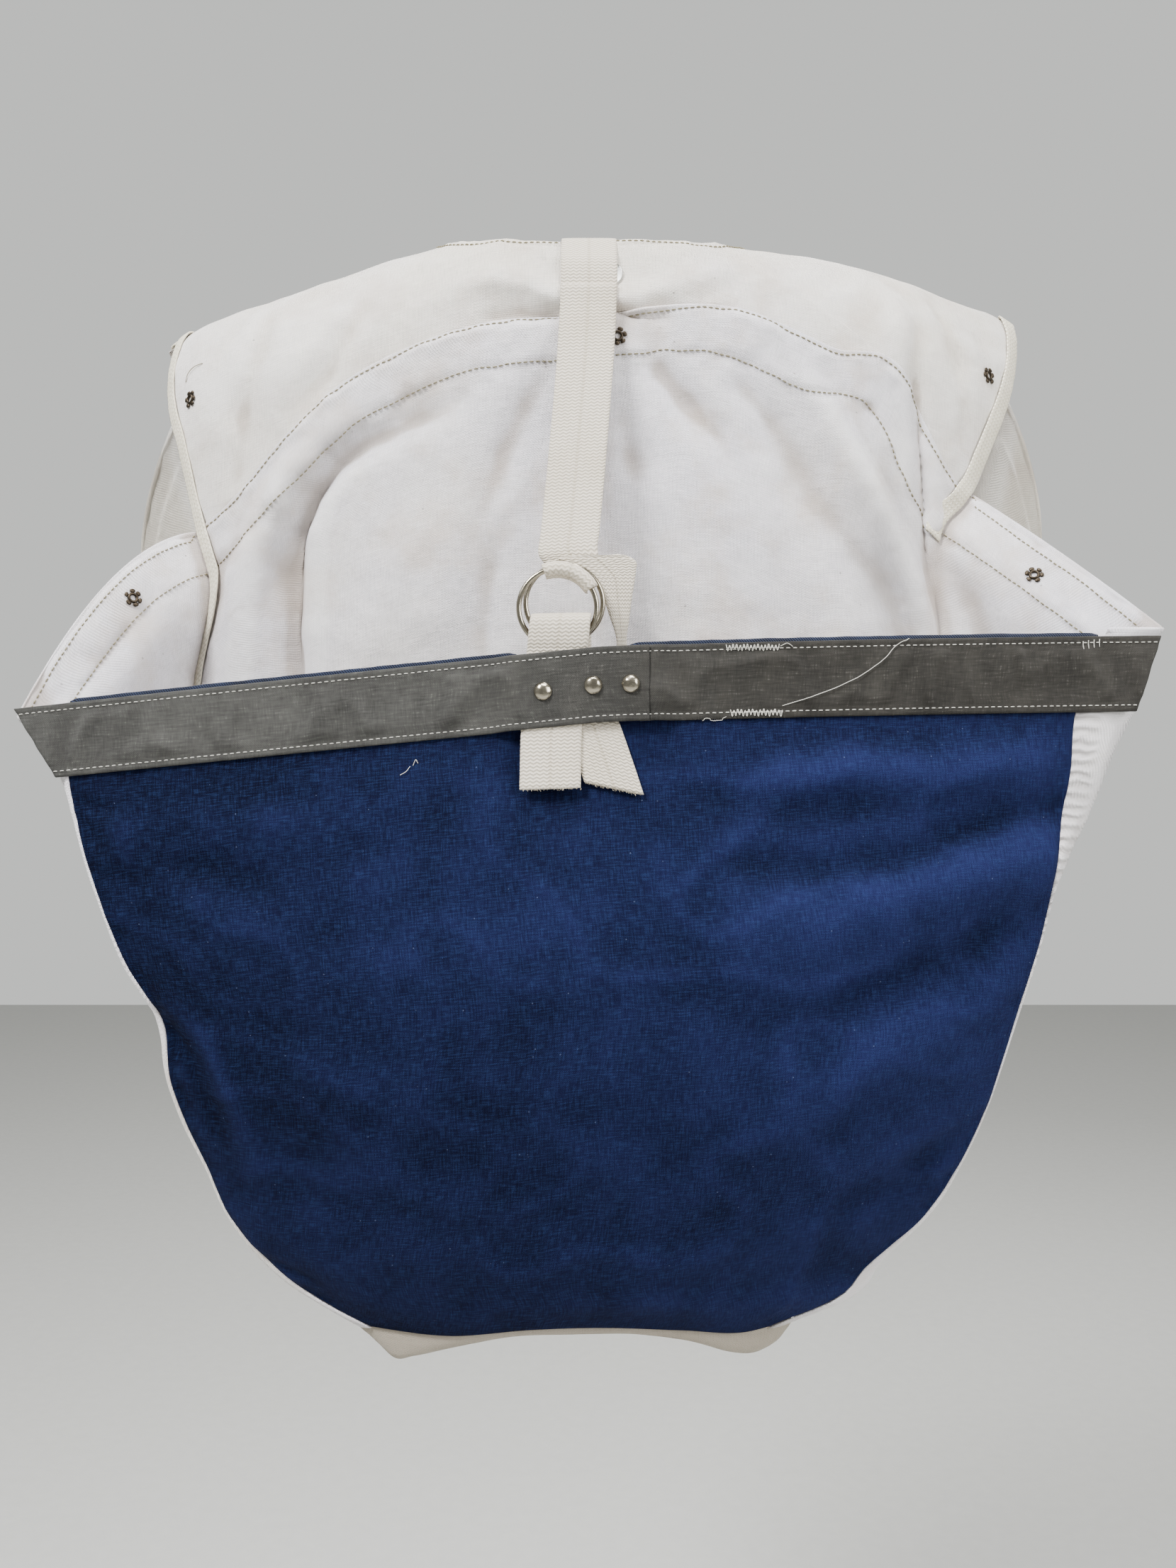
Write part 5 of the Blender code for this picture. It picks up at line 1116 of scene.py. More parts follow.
def tube(points, radii, sides=5):
    """Points and faces of a thin round thread through points."""
    points = np.asarray(points, float)
    ahead = np.gradient(points, axis=0)
    ahead /= np.maximum(np.linalg.norm(ahead, axis=1, keepdims=True), 1e-12)
    across = np.cross(ahead, (0.13, 0.99, 0.05))
    across /= np.maximum(np.linalg.norm(across, axis=1, keepdims=True), 1e-12)
    up = np.cross(across, ahead)
    angle = np.arange(sides) * 2 * math.pi / sides
    radii = np.broadcast_to(np.asarray(radii, float), (len(points),))[:, None, None]
    rings = across[:, None] * np.cos(angle)[:, None] + up[:, None] * np.sin(angle)[:, None]
    rings = points[:, None] + rings * radii
    faces = []
    for r in range(len(points) - 1):
        for i in range(sides):
            j = (i + 1) % sides
            faces.append((r * sides + i, r * sides + j, (r + 1) * sides + j, (r + 1) * sides + i))
    faces.append(tuple(range(sides))[::-1])
    faces.append(tuple((len(points) - 1) * sides + i for i in range(sides)))
    return rings.reshape(-1, 3), faces


def add_tubes(name, tubes, finish):
    """The points and faces of many threads, as one piece."""
    verts, faces, count = [], [], 0
    for points, own in tubes:
        verts.append(points)
        faces += [tuple(k + count for k in face) for face in own]
        count += len(points)
    corners = sum(len(face) for face in faces)
    return add_piece(name, np.concatenate(verts), faces, np.zeros((corners, 2)), finish)


def sew(name, lines, finish, pitch=STITCH_PITCH, radius=THREAD, share=0.72):
    """Stitches along lines on the cloth; each line is its points and the way out of the cloth."""
    threads = []
    for line, out in lines:
        run = along(line)
        number = max(int(run[-1] / pitch), 1)
        for i in range(number):
            wobble = 0.12 * math.sin(i * 12.9898 + len(line))
            start = (i + 0.14 + 0.1 * wobble) * run[-1] / number
            at = start + np.array([0.0, 0.18, 0.5, 0.82, 1.0]) * share * run[-1] / number
            place = np.stack([np.interp(at, run, line[:, k]) for k in range(3)], axis=1)
            away = np.stack([np.interp(at, run, out[:, k]) for k in range(3)], axis=1)
            lift = np.array([-0.6, 0.35, 0.75, 0.35, -0.6])[:, None] * radius
            threads.append(tube(place + away * lift, radius * np.array([0.5, 0.95, 1.0, 0.95, 0.5])))
    return add_tubes(name, threads, finish)


def search_trees(names):
    """A tree for each piece, in which rays find its faces."""
    pieces = [bpy.data.objects[name].data for name in names]
    return [BVHTree.FromPolygons([v.co for v in mesh.vertices], [p.vertices for p in mesh.polygons])
            for mesh in pieces]


def laid_on(carriers, at, lift):
    """Points on the front of some pieces at their x and z, lifted off the cloth."""
    trees = search_trees(carriers)
    points = []
    for (x, z), off in zip(at, np.broadcast_to(lift, (len(at),))):
        found = [tree.ray_cast(Vector((x, -0.40, z)), Vector((0, 1, 0))) for tree in trees]
        found = [hit for hit in found if hit[0] is not None]
        if found:
            place, normal, _, _ = min(found, key=lambda hit: hit[3])
            points.append(np.array(place) + np.array(normal if normal[1] < 0 else -normal) * off)
    return np.array(points)


def add_threads(name, runs, radius, finish):
    """Threads through runs of points, as one piece."""
    return add_tubes(name, [tube(run, radius) for run in runs], finish)


def make_threads():
    """The zigzag bartacks, the ticks on the mouth's edge and the loose threads."""
    band = ["band_left_cloth", "band_right_cloth", "mouth_fold_left", "mouth_fold_right"]
    runs = []
    for tack in BARTACKS:
        share = np.linspace(-0.5, 0.5, 2 * tack.turns + 1)
        side = np.where(np.arange(len(share)) % 2 == 0, 0.5, -0.5)
        wobble = 0.12 * np.sin(np.arange(len(share)) * 5.3)
        at = np.stack([tack.x + share * tack.width, tack.z + (side + wobble) * tack.height], axis=1)
        fine = through(at, 4 * len(at))
        runs.append(laid_on(band, fine, 0.0003))
        along_it = np.stack([tack.x + share * tack.width, tack.z + 0.25 * side * tack.height], axis=1)
        runs.append(laid_on(band, along_it, 0.0006))
    for tick in TICKS:
        at = [(tick.x, tick.z + (share - 0.5) * tick.height) for share in np.linspace(0, 1, 5)]
        runs.append(laid_on(band, at, 0.0003))
    add_threads("bartacks", [run for run in runs if len(run) > 1], 0.00022, white_thread())
    carriers = {"band": band, "yoke": ["yoke_cloth"], "panel": ["front_panel_cloth"]}
    loose = {"band": [], "yoke": [], "panel": []}
    for on, at in LOOSE_THREADS:
        fine = through(np.array(at), 8 * len(at))
        lift = 0.0004 + 0.0006 * np.sin(np.linspace(0, math.pi, len(fine)))
        loose[on].append(laid_on(carriers[on], fine, lift))
    add_threads("loose_band_threads", loose["band"], 0.00017, white_thread())
    add_threads("loose_yoke_thread", loose["yoke"], 0.00024, seam_thread())
    add_threads("caught_threads", loose["panel"], 0.00016, white_thread())


def fray(name, edge, down, seed):
    """Short cut fibres along the end of a tape; edge is its last row, down the way they stand."""
    made = np.random.default_rng(seed)
    runs = []
    for _ in range(60):
        share = made.random()
        at = share * (len(edge) - 1)
        i = min(int(at), len(edge) - 2)
        start = blend(edge[i], edge[i + 1], at - i) + places(0, made.uniform(-0.0006, 0.0006), 0)
        reach = made.uniform(0.0004, 0.0014)
        way = np.array(down) + made.normal(0, 0.28, 3) * (1, 0.5, 0.6)
        bend = made.normal(0, 0.0003, 3)
        runs.append(np.array([start - way * 0.0004, start + way * reach * 0.5 + bend, start + way * reach]))
    add_threads(name, runs, 0.00011, webbing())


def seat_on(carriers, near, facing, radius):
    """Where a disc of a radius rests on the outside of some pieces, and its normal."""
    facing = np.array(facing, float) / np.linalg.norm(facing)
    across = np.cross(facing, (0.0, 0.0, 1.0))
    across /= np.linalg.norm(across)
    up = np.cross(across, facing)
    starts = [np.array(near, float)]
    for i in range(12):
        turn = 2 * math.pi * i / 12
        starts.append(starts[0] + radius * (across * math.cos(turn) + up * math.sin(turn)))
    hits = []
    trees = search_trees(carriers)
    for start in starts:
        found = [tree.ray_cast(Vector(start + facing * 0.02), Vector(-facing), 0.05) for tree in trees]
        found = [hit for hit in found if hit[0] is not None]
        hits.append(np.array(min(found, key=lambda hit: hit[3])[0]) if found else None)
    centre = hits[0]
    rim = [hit for hit in hits[1:] if hit is not None]
    normal = np.zeros(3)
    for a, b in zip(rim, rim[1:] + rim[:1]):
        normal += np.cross(a - centre, b - centre)
    normal /= np.linalg.norm(normal)
    normal = normal if np.dot(normal, facing) > 0 else -normal
    highest = max(np.dot(hit - centre, normal) for hit in rim)
    return centre + normal * max(highest * 0.5, 0.0), normal


def deselect():
    for other in list(bpy.context.selected_objects):
        other.select_set(False)


def put(piece, place, normal, turn=0.0):
    """Moves a piece that was made at the origin, facing up, to its place; its object stays at the origin."""
    facing = Vector(normal).to_track_quat("Z", "Y").to_matrix().to_4x4()
    piece.data.transform(Matrix.Translation(Vector(place)) @ facing @ Matrix.Rotation(turn, 4, "Z"))
    piece.data.update()


def turned_stud(name, profile, sides=40):
    """A round stud: a circle, extruded and drawn in step by step, then closed at its top."""
    deselect()
    first_radius, first_height = profile[0]
    bpy.ops.mesh.primitive_circle_add(vertices=sides, radius=first_radius, fill_type="NGON",
                                      location=(0, 0, first_height))
    stud = bpy.context.object
    stud.name = name
    bpy.ops.object.transform_apply(location=True, rotation=True, scale=True)
    bpy.ops.object.mode_set(mode="EDIT")
    radius, height = first_radius, first_height
    bpy.ops.mesh.select_mode(type="FACE")
    bpy.ops.mesh.select_all(action="SELECT")
    for new_radius, new_height in profile[1:]:
        bpy.ops.mesh.extrude_region_move(TRANSFORM_OT_translate={"value": (0, 0, new_height - height)})
        size = new_radius / radius
        bpy.ops.transform.resize(value=(size, size, 1), center_override=(0, 0, new_height))
        radius, height = new_radius, new_height
    bpy.ops.mesh.select_all(action="SELECT")
    bpy.ops.mesh.normals_make_consistent(inside=False)
    bpy.ops.object.mode_set(mode="OBJECT")
    return stud


def finish_metal(piece, finish, stands_for):
    """The metal piece's finish, shading and place in the bag."""
    piece.data.materials.clear()
    piece.data.materials.append(finish)
    deselect()
    piece.select_set(True)
    bpy.context.view_layer.objects.active = piece
    bpy.ops.object.shade_smooth_by_angle(angle=math.radians(40))
    settle(piece, stands_for)


def make_rivets():
    """Three domed rivets, each a little dented, through the band."""
    for rivet in RIVETS:
        low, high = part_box(rivet)
        middle = np.array((low + high) / 2)
        place, normal = seat_on(["band_left_cloth"], middle, (0, -1, 0), 0.0044)
        stud = turned_stud(f"{rivet}_dome", RIVET_PROFILE)
        stud.modifiers.new("round", "SUBSURF")
        stud.modifiers["round"].levels = stud.modifiers["round"].render_levels = 1
        bpy.ops.object.modifier_apply(modifier="round")
        for vertex in stud.data.vertices:
            if vertex.co.z > 0.0008:
                dent = 0.00022 * noise.noise(vertex.co * 420 + Vector((middle[0] * 900, 0, 0)))
                vertex.co.z += dent
        put(stud, place, normal)
        finish_metal(stud, nickel(), [rivet])


def make_cap():
    """The flat silver snap cap, half under the strap."""
    low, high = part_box("cap_snap")
    place, normal = seat_on(["yoke_cloth"], (low + high) / 2, (0, -1, 0.35), 0.0084)
    cap = turned_stud("cap_snap_disc", CAP_PROFILE, 56)
    put(cap, place, normal)
    finish_metal(cap, bright_nickel(), ["cap_snap"])


def make_prong_snap(node, carriers, facing, turn):
    """A snap's back: a small dark eyelet with its prongs bent outwards like petals."""
    low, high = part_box(node)
    place, normal = seat_on(carriers, (low + high) / 2, facing, 0.0040)
    deselect()
    bpy.ops.mesh.primitive_torus_add(major_radius=0.0023, minor_radius=0.00075, major_segments=28,
                                     minor_segments=10, location=(0, 0, 0.0006))
    snap = bpy.context.object
    bpy.ops.object.transform_apply(location=True, rotation=True, scale=True)
    petals = []
    for i in range(PRONGS):
        deselect()
        bpy.ops.mesh.primitive_uv_sphere_add(segments=12, ring_count=8, radius=0.0012,
                                             location=(0.0040, 0, 0.0006 + 0.0002 * (i % 2)))
        petal = bpy.context.object
        bpy.ops.object.transform_apply(location=True, rotation=True, scale=True)
        bpy.ops.object.mode_set(mode="EDIT")
        bpy.ops.mesh.select_all(action="SELECT")
        bpy.ops.transform.resize(value=(1.10 - 0.1 * (i % 3), 1.30 + 0.1 * (i % 2), 0.5),
                                 center_override=(0.0040, 0, 0.0006))
        bpy.ops.object.mode_set(mode="OBJECT")
        petal.data.transform(Matrix.Rotation(2 * math.pi * i / PRONGS + 0.16 * math.sin(5 * i), 4, "Z"))
        petals.append(petal)
    deselect()
    for petal in petals:
        petal.select_set(True)
    snap.select_set(True)
    bpy.context.view_layer.objects.active = snap
    bpy.ops.object.join()
    snap.name = f"{node}_back"
    put(snap, place, normal, turn)
    finish_metal(snap, dark_metal(), [node])


def make_ring(node):
    """A round ring of nickel wire, with a butt joint."""
    low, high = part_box(node)
    deselect()
    bpy.ops.mesh.primitive_torus_add(location=(0, 0, 0), major_radius=RING_RADIUS, minor_radius=RING_WIRE_RADIUS,
                                     major_segments=144, minor_segments=20)
    ring = bpy.context.object
    ring.name = f"{node}_wire"
    for vertex in ring.data.vertices:
        turn = math.atan2(vertex.co.y, vertex.co.x)
        gap = math.exp(-((turn + 2.2) / 0.012) ** 2)
        wire = Vector((math.cos(turn), math.sin(turn), 0)) * RING_RADIUS
        vertex.co = wire + (vertex.co - wire) * (1 - 0.12 * gap)
    ring.data.transform(Matrix.Translation((low + high) / 2) @ Matrix.Rotation(math.pi / 2, 4, "X"))
    finish_metal(ring, nickel(), [node])


class Value:
    """A shader value that is added, multiplied and compared as a number would be."""

    def __init__(self, finish, socket):
        self.finish = finish
        self.socket = socket

    def math(self, operation, *others):
        return self.finish.node("ShaderNodeMath", {"operation": operation}, dict(enumerate((self, *others))))

    def __add__(self, other):
        return self.math("ADD", other)

    def __sub__(self, other):
        return self.math("SUBTRACT", other)

    def __mul__(self, other):
        return self.math("MULTIPLY", other)

    def __truediv__(self, other):
        return self.math("DIVIDE", other)

    def __rsub__(self, other):
        return self.finish.node("ShaderNodeMath", {"operation": "SUBTRACT"}, {0: other, 1: self})

    __radd__ = __add__
    __rmul__ = __mul__

    def sine(self):
        return self.math("SINE")

    def absolute(self):
        return self.math("ABSOLUTE")

    def fraction(self):
        return self.math("FRACT")

    def floor(self):
        return self.math("FLOOR")

    def rise(self, low, high):
        """0 below low, 1 above high, and a soft step between."""
        settings = {"interpolation_type": "SMOOTHSTEP", "clamp": True}
        return self.finish.node("ShaderNodeMapRange", settings, {0: self, 1: low, 2: high, 3: 0.0, 4: 1.0})


class Finish:
    """A material that is built node by node."""

    def __init__(self, name):
        self.material = bpy.data.materials.new(name)
        self.material.use_nodes = True
        self.nodes = self.material.node_tree.nodes
        self.links = self.material.node_tree.links
        self.shader = self.nodes["Principled BSDF"]

    def node(self, kind, settings=None, inputs=None, output=0):
        """A node with its settings, then its inputs' values or links, and one of its outputs."""
        made = self.nodes.new(kind)
        for name, value in (settings or {}).items():
            setattr(made, name, value)
        for key, value in (inputs or {}).items():
            self.feed(made.inputs[key], value)
        return Value(self, made.outputs[output])

    def feed(self, socket, value):
        if isinstance(value, Value):
            self.links.new(value.socket, socket)
        elif hasattr(value, "__len__") and socket.type == "RGBA":
            socket.default_value = (*value, 1.0)
        else:
            socket.default_value = value

    def set(self, **sockets):
        for name, value in sockets.items():
            self.feed(self.shader.inputs[name.replace("_", " ")], value)

    def flat_place(self):
        """The place on the flat cloth, in metres."""
        return self.node("ShaderNodeUVMap", {"uv_map": "Cloth"})

    def place(self):
        """The place in the bag, in metres."""
        return self.node("ShaderNodeTexCoord", {}, {}, "Object")

    def hollow(self):
        """How far the cloth lies behind its surroundings, in metres."""
        return self.node("ShaderNodeAttribute", {"attribute_name": "Hollow"}, {}, "Fac")

    def parts(self, vector):
        split = self.node("ShaderNodeSeparateXYZ", {}, {0: vector})
        return split, Value(self, split.socket.node.outputs[1]), Value(self, split.socket.node.outputs[2])

    def vector(self, x, y, z=0.0):
        return self.node("ShaderNodeCombineXYZ", {}, {0: x, 1: y, 2: z})

    def stretched(self, vector, x, y, z):
        return self.node("ShaderNodeVectorMath", {"operation": "MULTIPLY"}, {0: vector, 1: (x, y, z)})

    def noise(self, vector, size, detail=2.0, roughness=0.5):
        """Noise between 0 and 1 with swells of a size in metres."""
        inputs = {"Vector": vector, "Scale": 1.0 / size, "Detail": detail, "Roughness": roughness}
        return self.node("ShaderNodeTexNoise", {}, inputs)

    def mix(self, share, a, b):
        """A colour between two."""
        return self.node("ShaderNodeMix", {"data_type": "RGBA"}, {0: share, 6: a, 7: b}, 2)

    def bump(self, height, distance, strength=1.0):
        inputs = {"Height": height, "Distance": distance, "Strength": strength}
        return self.node("ShaderNodeBump", {}, inputs)


def srgb(red, green, blue):
    """A colour as the eye reads it, 0 to 255, as the linear values that a shader takes."""
    return tuple((c / 255) ** 2.2 for c in (red, green, blue))


made_finishes = {}


def once(build):
    """A finish is built the first time that a piece asks for it."""
    def find(*args, **options):
        key = (build.__name__, args, tuple(sorted(options.items())))
        if key not in made_finishes:
            made_finishes[key] = build(*args, **options).material
        return made_finishes[key]
    return find


@once
def canvas(name, warm=0.0, soiled=0.0, puckers=False):
    """Heavy plain-woven cotton: raised threads in a chequer with painted shade in their gaps, uneven threads, a
    few specks and soiling. The cloth's hollows get painted shade and its swells a painted highlight, and a
    setting makes it darker all over.

    With puckers, the cloth is drawn up in short ribs beside the front wall's right seam, with painted shade in
    the troughs between them.
    """
    f = Finish(name)
    flat = f.flat_place()
    u, v, _ = f.parts(flat)
    drift = f.noise(flat, 0.020, 2.0) * 0.0012
    across = ((u + drift) * (math.pi / CANVAS_WARP)).sine()
    down = ((v - drift) * (math.pi / CANVAS_WEFT)).sine()
    over = (across * down).rise(-0.2, 0.2)
    weave = over * across.absolute() + (1 - over) * down.absolute()
    thick = f.noise(f.stretched(flat, 1.0, 9.0, 1.0), 0.010, 2.0)
    slub = f.noise(f.stretched(flat, 9.0, 1.0, 1.0), 0.010, 2.0)
    place = f.place()
    cloudy = f.noise(place, 0.11, 4.0, 0.6)
    warmth = (f.noise(place, 0.16, 3.0) * 1.5 - 0.45 + warm).rise(0.0, 1.0)
    # Painted shade: the weave's gaps are darker than the raised threads; thick and thin threads also vary the
    # tone.
    shade = (weave * 0.62 + thick * 0.40 + slub * 0.40 - 0.16).rise(0.0, 1.0)
    cool = f.mix(shade, srgb(178, 174, 181), srgb(243, 240, 246))
    cream = f.mix(shade, srgb(186, 178, 164), srgb(244, 237, 222))
    colour = f.mix(warmth, cool, cream)
    blotch = f.noise(place, 0.045, 4.0, 0.62).rise(0.46, 0.72)
    colour = f.mix(blotch * 0.55, colour, srgb(206, 191, 178))
    # Painted shade: the cloth's hollows are darkened toward warm grey; painted highlight: its swells are
    # lightened toward white.
    hollow = f.hollow()
    colour = f.mix(hollow.rise(0.0001, 0.0019) * 0.58, colour, srgb(168, 152, 137))
    colour = f.mix((hollow * -1.0).rise(0.0003, 0.0030) * 0.40, colour, srgb(251, 249, 247))
    # Darker in cloudy patches, and darker all over as the setting rises, as on the bottom.
    soil_and_darkening = (cloudy * 1.6 - 0.95 + soiled * 0.9).rise(0.0, 0.9) * (0.22 + 0.45 * soiled)
    colour = f.mix(soil_and_darkening, colour, srgb(150, 140, 124))
    specks = f.node("ShaderNodeTexVoronoi", {}, {"Vector": place, "Scale": 95.0, "Randomness": 1.0})
    chosen = f.noise(place, 0.018, 0.0).rise(0.60, 0.66)
    speck = (0.075 - specks).rise(0.0, 0.03) * chosen
    colour = f.mix(speck * 0.5, colour, srgb(120, 112, 104))
    soft = f.noise(place, 0.030, 3.0, 0.5) * 9.0 + f.noise(place, 0.009, 2.0, 0.5) * 2.2
    height = weave * 0.7 + thick * 0.8 + slub * 0.8 + soft
    if puckers:
        x, y, z = f.parts(place)
        past = x - (z + 0.297) * 0.132 - 0.2497
        beside = past.rise(-0.004, 0.0) * (1 - past.rise(0.009, 0.017)) * (1 - (y + 0.130).rise(0.0, 0.006))
        ribs = (z * (2 * math.pi / 0.0056) + f.noise(place, 0.010, 1.0) * 5.0).sine()
        height = height + ribs * beside * 2.6
        # Painted shade in the troughs between the ribs.
        colour = f.mix(beside * (0.5 - ribs * 0.5) * 0.35, colour, srgb(158, 152, 146))
    f.set(Base_Color=colour, Roughness=0.92 - weave * 0.04, Normal=f.bump(height, 0.00042, 0.9))
    f.set(Sheen_Weight=0.12, Specular_IOR_Level=0.22)
    return f


@once
def blue_cloth():
    """Dark blue cotton with a linen grain that has faded and softened, with slubs and caught lint; its hollows
    are painted deeper blue as shade and its swells paler as a painted highlight.
    """
    f = Finish("faded_blue_cloth")
    flat = f.flat_place()
    place = f.place()
    u, v, _ = f.parts(flat)
    x, _, _ = f.parts(place)
    upright = f.noise(f.stretched(flat, 12.0, 1.0, 1.0), 0.0085, 3.0, 0.62)
    level = f.noise(f.stretched(flat, 1.0, 10.0, 1.0), 0.0075, 3.0, 0.62)
    threads = (u * (math.pi / BLUE_PITCH)).sine() * (v * (math.pi / BLUE_PITCH)).sine()
    rubbed = f.noise(place, 0.085, 5.0, 0.62)
    patch = f.noise(place, 0.030, 4.0, 0.6)
    # Real fading mixed with painted light: the hollow term paints the cloth's hollows deeper blue as shade and
    # its swells paler as a highlight.
    fade_and_hollow_shade = (rubbed - 0.5) * 0.8 + (patch - 0.5) * 0.5 + x * 0.9 - f.hollow() * 170.0 + 0.40
    fade_and_hollow_shade = fade_and_hollow_shade.rise(0.0, 1.0)
    deep = f.mix(upright, srgb(6, 8, 22), srgb(14, 17, 40))
    pale_blue = f.mix(upright, srgb(20, 23, 52), srgb(36, 42, 80))
    colour = f.mix(fade_and_hollow_shade, deep, pale_blue)
    fleck = (upright * 0.5 + level * 0.7 + threads * 0.06 - 0.50).rise(0.0, 0.36)
    colour = f.mix(fleck * 0.40, colour, srgb(42, 60, 98))
    lint_places = f.node("ShaderNodeTexVoronoi", {}, {"Vector": flat, "Scale": 190.0, "Randomness": 1.0})
    lint = (0.085 - lint_places).rise(0.0, 0.035) * f.noise(flat, 0.012, 1.0).rise(0.52, 0.62)
    colour = f.mix(lint * 0.4, colour, srgb(90, 102, 130))
    height = threads * 0.3 + upright * 0.9 + level * 0.9 + f.noise(flat, 0.0014, 2.0) * 0.5
    f.set(Base_Color=colour, Roughness=0.90 - fade_and_hollow_shade * 0.06, Normal=f.bump(height, 0.00030, 0.9))
    f.set(Sheen_Weight=0.0, Specular_IOR_Level=0.08)
    return f


@once
def grey_tape():
    """Grey cotton tape with a linen grain, washed out along its creases, and darker at the right."""
    f = Finish("washed_grey_tape")
    flat = f.flat_place()
    place = f.place()
    u, v, _ = f.parts(flat)
    x, _, _ = f.parts(place)
    slub = f.noise(f.stretched(flat, 1.0, 9.0, 1.0), 0.010, 3.0, 0.6)
    down = f.noise(f.stretched(flat, 9.0, 1.0, 1.0), 0.007, 3.0, 0.6)
    threads = (u * (math.pi / BLUE_PITCH)).sine() * (v * (math.pi / BLUE_PITCH)).sine()
    rubbed = f.noise(f.stretched(place, 1.0, 1.0, 0.5), 0.022, 5.0, 0.65)
    shade = slub * 0.4 + down * 0.3 + rubbed * 0.5 - 0.22 + threads * 0.05
    light = f.mix(shade.rise(0.05, 0.75), srgb(40, 39, 38), srgb(84, 84, 81))
    dark = f.mix(shade.rise(0.05, 0.75), srgb(27, 26, 24), srgb(65, 63, 59))
    colour = f.mix((x + (rubbed - 0.5) * 0.2).rise(-0.10, 0.12), light, dark)
    worn = (slub * 0.6 + down * 0.6).rise(0.68, 0.92)
    colour = f.mix(worn * 0.45, colour, srgb(128, 127, 121))
    height = threads * 0.3 + slub * 0.8 + down * 0.7 + rubbed * 1.6
    f.set(Base_Color=colour, Roughness=0.88 + shade * 0.06, Normal=f.bump(height, 0.00034, 0.9))
    f.set(Sheen_Weight=0.06, Specular_IOR_Level=0.18)
    return f


@once
def navy_edge():
    """Navy twill, with its slanting ribs."""
    f = Finish("navy_twill")
    flat = f.flat_place()
    u, v, _ = f.parts(flat)
    ribs = ((u + v * 0.9) * (2 * math.pi / 0.0013)).sine()
    rubbed = f.noise(f.place(), 0.012, 4.0, 0.6)
    colour = f.mix((ribs * 0.35 + rubbed).rise(0.2, 1.0), srgb(9, 13, 26), srgb(36, 46, 70))
    f.set(Base_Color=colour, Roughness=0.85 - ribs * 0.05, Normal=f.bump(ribs + rubbed, 0.00022, 0.8))
    f.set(Sheen_Weight=0.1, Specular_IOR_Level=0.2)
    return f


@once
def cream_tape():
    """Narrow cream tape with rows of stitches along it."""
    f = Finish("cream_tape")
    flat = f.flat_place()
    u, v, _ = f.parts(flat)
    row = (u * (1 / 0.0022)).fraction() - 0.5
    on_row = 1 - row.absolute().rise(0.10, 0.26)
    dash = ((v * (2 * math.pi / 0.0030)).sine()).rise(-0.5, 0.1)
    stitch = on_row * dash
    cells = (u * (math.pi / 0.00055)).sine() * (v * (math.pi / 0.00055)).sine()
    worn = f.noise(f.place(), 0.014, 4.0, 0.6)
    colour = f.mix(worn, srgb(190, 182, 160), srgb(224, 217, 197))
    colour = f.mix(stitch * 0.6, colour, srgb(246, 241, 226))
    colour = f.mix(on_row * (1 - dash) * 0.5, colour, srgb(168, 160, 140))
    height = stitch * 1.5 + cells * 0.25 + worn
    f.set(Base_Color=colour, Roughness=0.88 - stitch * 0.1, Normal=f.bump(height, 0.00030, 0.8))
    f.set(Sheen_Weight=0.12, Specular_IOR_Level=0.25)
    return f


@once
def webbing():
    """Cream herringbone webbing: upright columns of slanting threads that change their way at each column."""
    f = Finish("cream_webbing")
    flat = f.flat_place()
    u, v, _ = f.parts(flat)
    column = u * (1 / WEBBING_COLUMN)
    side = (column * math.pi).sine()
    lean = (column.fraction() - 0.5).absolute() * 2
    slant = ((v * (1 / WEBBING_PICK) + lean * 0.5) * (2 * math.pi)).sine()
    ribs = (column * (2 * math.pi)).sine()
    thread = slant * 0.5 + 0.5
    grain = f.noise(flat, 0.0009, 2.0)
    soil_and_darkening = f.noise(f.place(), 0.045, 4.0, 0.6).rise(0.42, 0.80)
    colour = f.mix(thread * 0.6 + grain * 0.4, srgb(172, 163, 144), srgb(224, 215, 201))
    colour = f.mix(soil_and_darkening * 0.28, colour, srgb(162, 149, 124))
    middle = 1 - (u.absolute() * (1 / 0.0012)).rise(0.2, 0.9)
    colour = f.mix(middle * 0.35, colour, srgb(166, 155, 133))
    height = thread * 1.1 + ribs * 0.18 - middle * 0.9 + side * 0.05
    f.set(Base_Color=colour, Roughness=0.78 + grain * 0.1, Normal=f.bump(height, 0.00032, 0.85))
    f.set(Sheen_Weight=0.1, Specular_IOR_Level=0.3)
    return f


def thread_finish(name, dark, light):
    f = Finish(name)
    grain = f.noise(f.place(), 0.0007, 2.0)
    f.set(Base_Color=f.mix(grain, dark, light), Roughness=0.75 + grain * 0.1,
          Normal=f.bump(grain, 0.0001, 0.6))
    return f


@once
def seam_thread():
    return thread_finish("seam_thread", srgb(98, 92, 70), srgb(146, 138, 112))


@once
def white_thread():
    return thread_finish("white_thread", srgb(158, 156, 148), srgb(208, 206, 198))


def metal_finish(name, dark, light, roughness):
    """Plated metal that has dulled unevenly and has fine scratches."""
    f = Finish(name)
    place = f.place()
    dull = f.noise(place, 0.0035, 5.0, 0.65)
    scratches = f.noise(f.stretched(place, 1.0, 1.0, 9.0), 0.0016, 3.0, 0.7)
    f.set(Base_Color=f.mix(dull, dark, light), Roughness=roughness + dull * 0.16 + scratches * 0.10,
          Metallic=1.0, Normal=f.bump(dull + scratches * 0.5, 0.00006, 0.5))
    return f


@once
def nickel():
    return metal_finish("worn_nickel", srgb(120, 113, 98), srgb(188, 181, 164), 0.10)


@once
def bright_nickel():
    return metal_finish("bright_nickel", srgb(150, 150, 146), srgb(205, 205, 202), 0.20)


@once
def dark_metal():
    return metal_finish("dark_metal", srgb(30, 26, 22), srgb(88, 79, 68), 0.34)


@once
def floor_finish():
    f = Finish("pale_floor")
    grain = f.noise(f.place(), 0.02, 4.0)
    f.set(Base_Color=f.mix(grain, srgb(196, 196, 192), srgb(206, 206, 202)), Roughness=0.9,
          Normal=f.bump(grain, 0.001, 0.1))
    return f


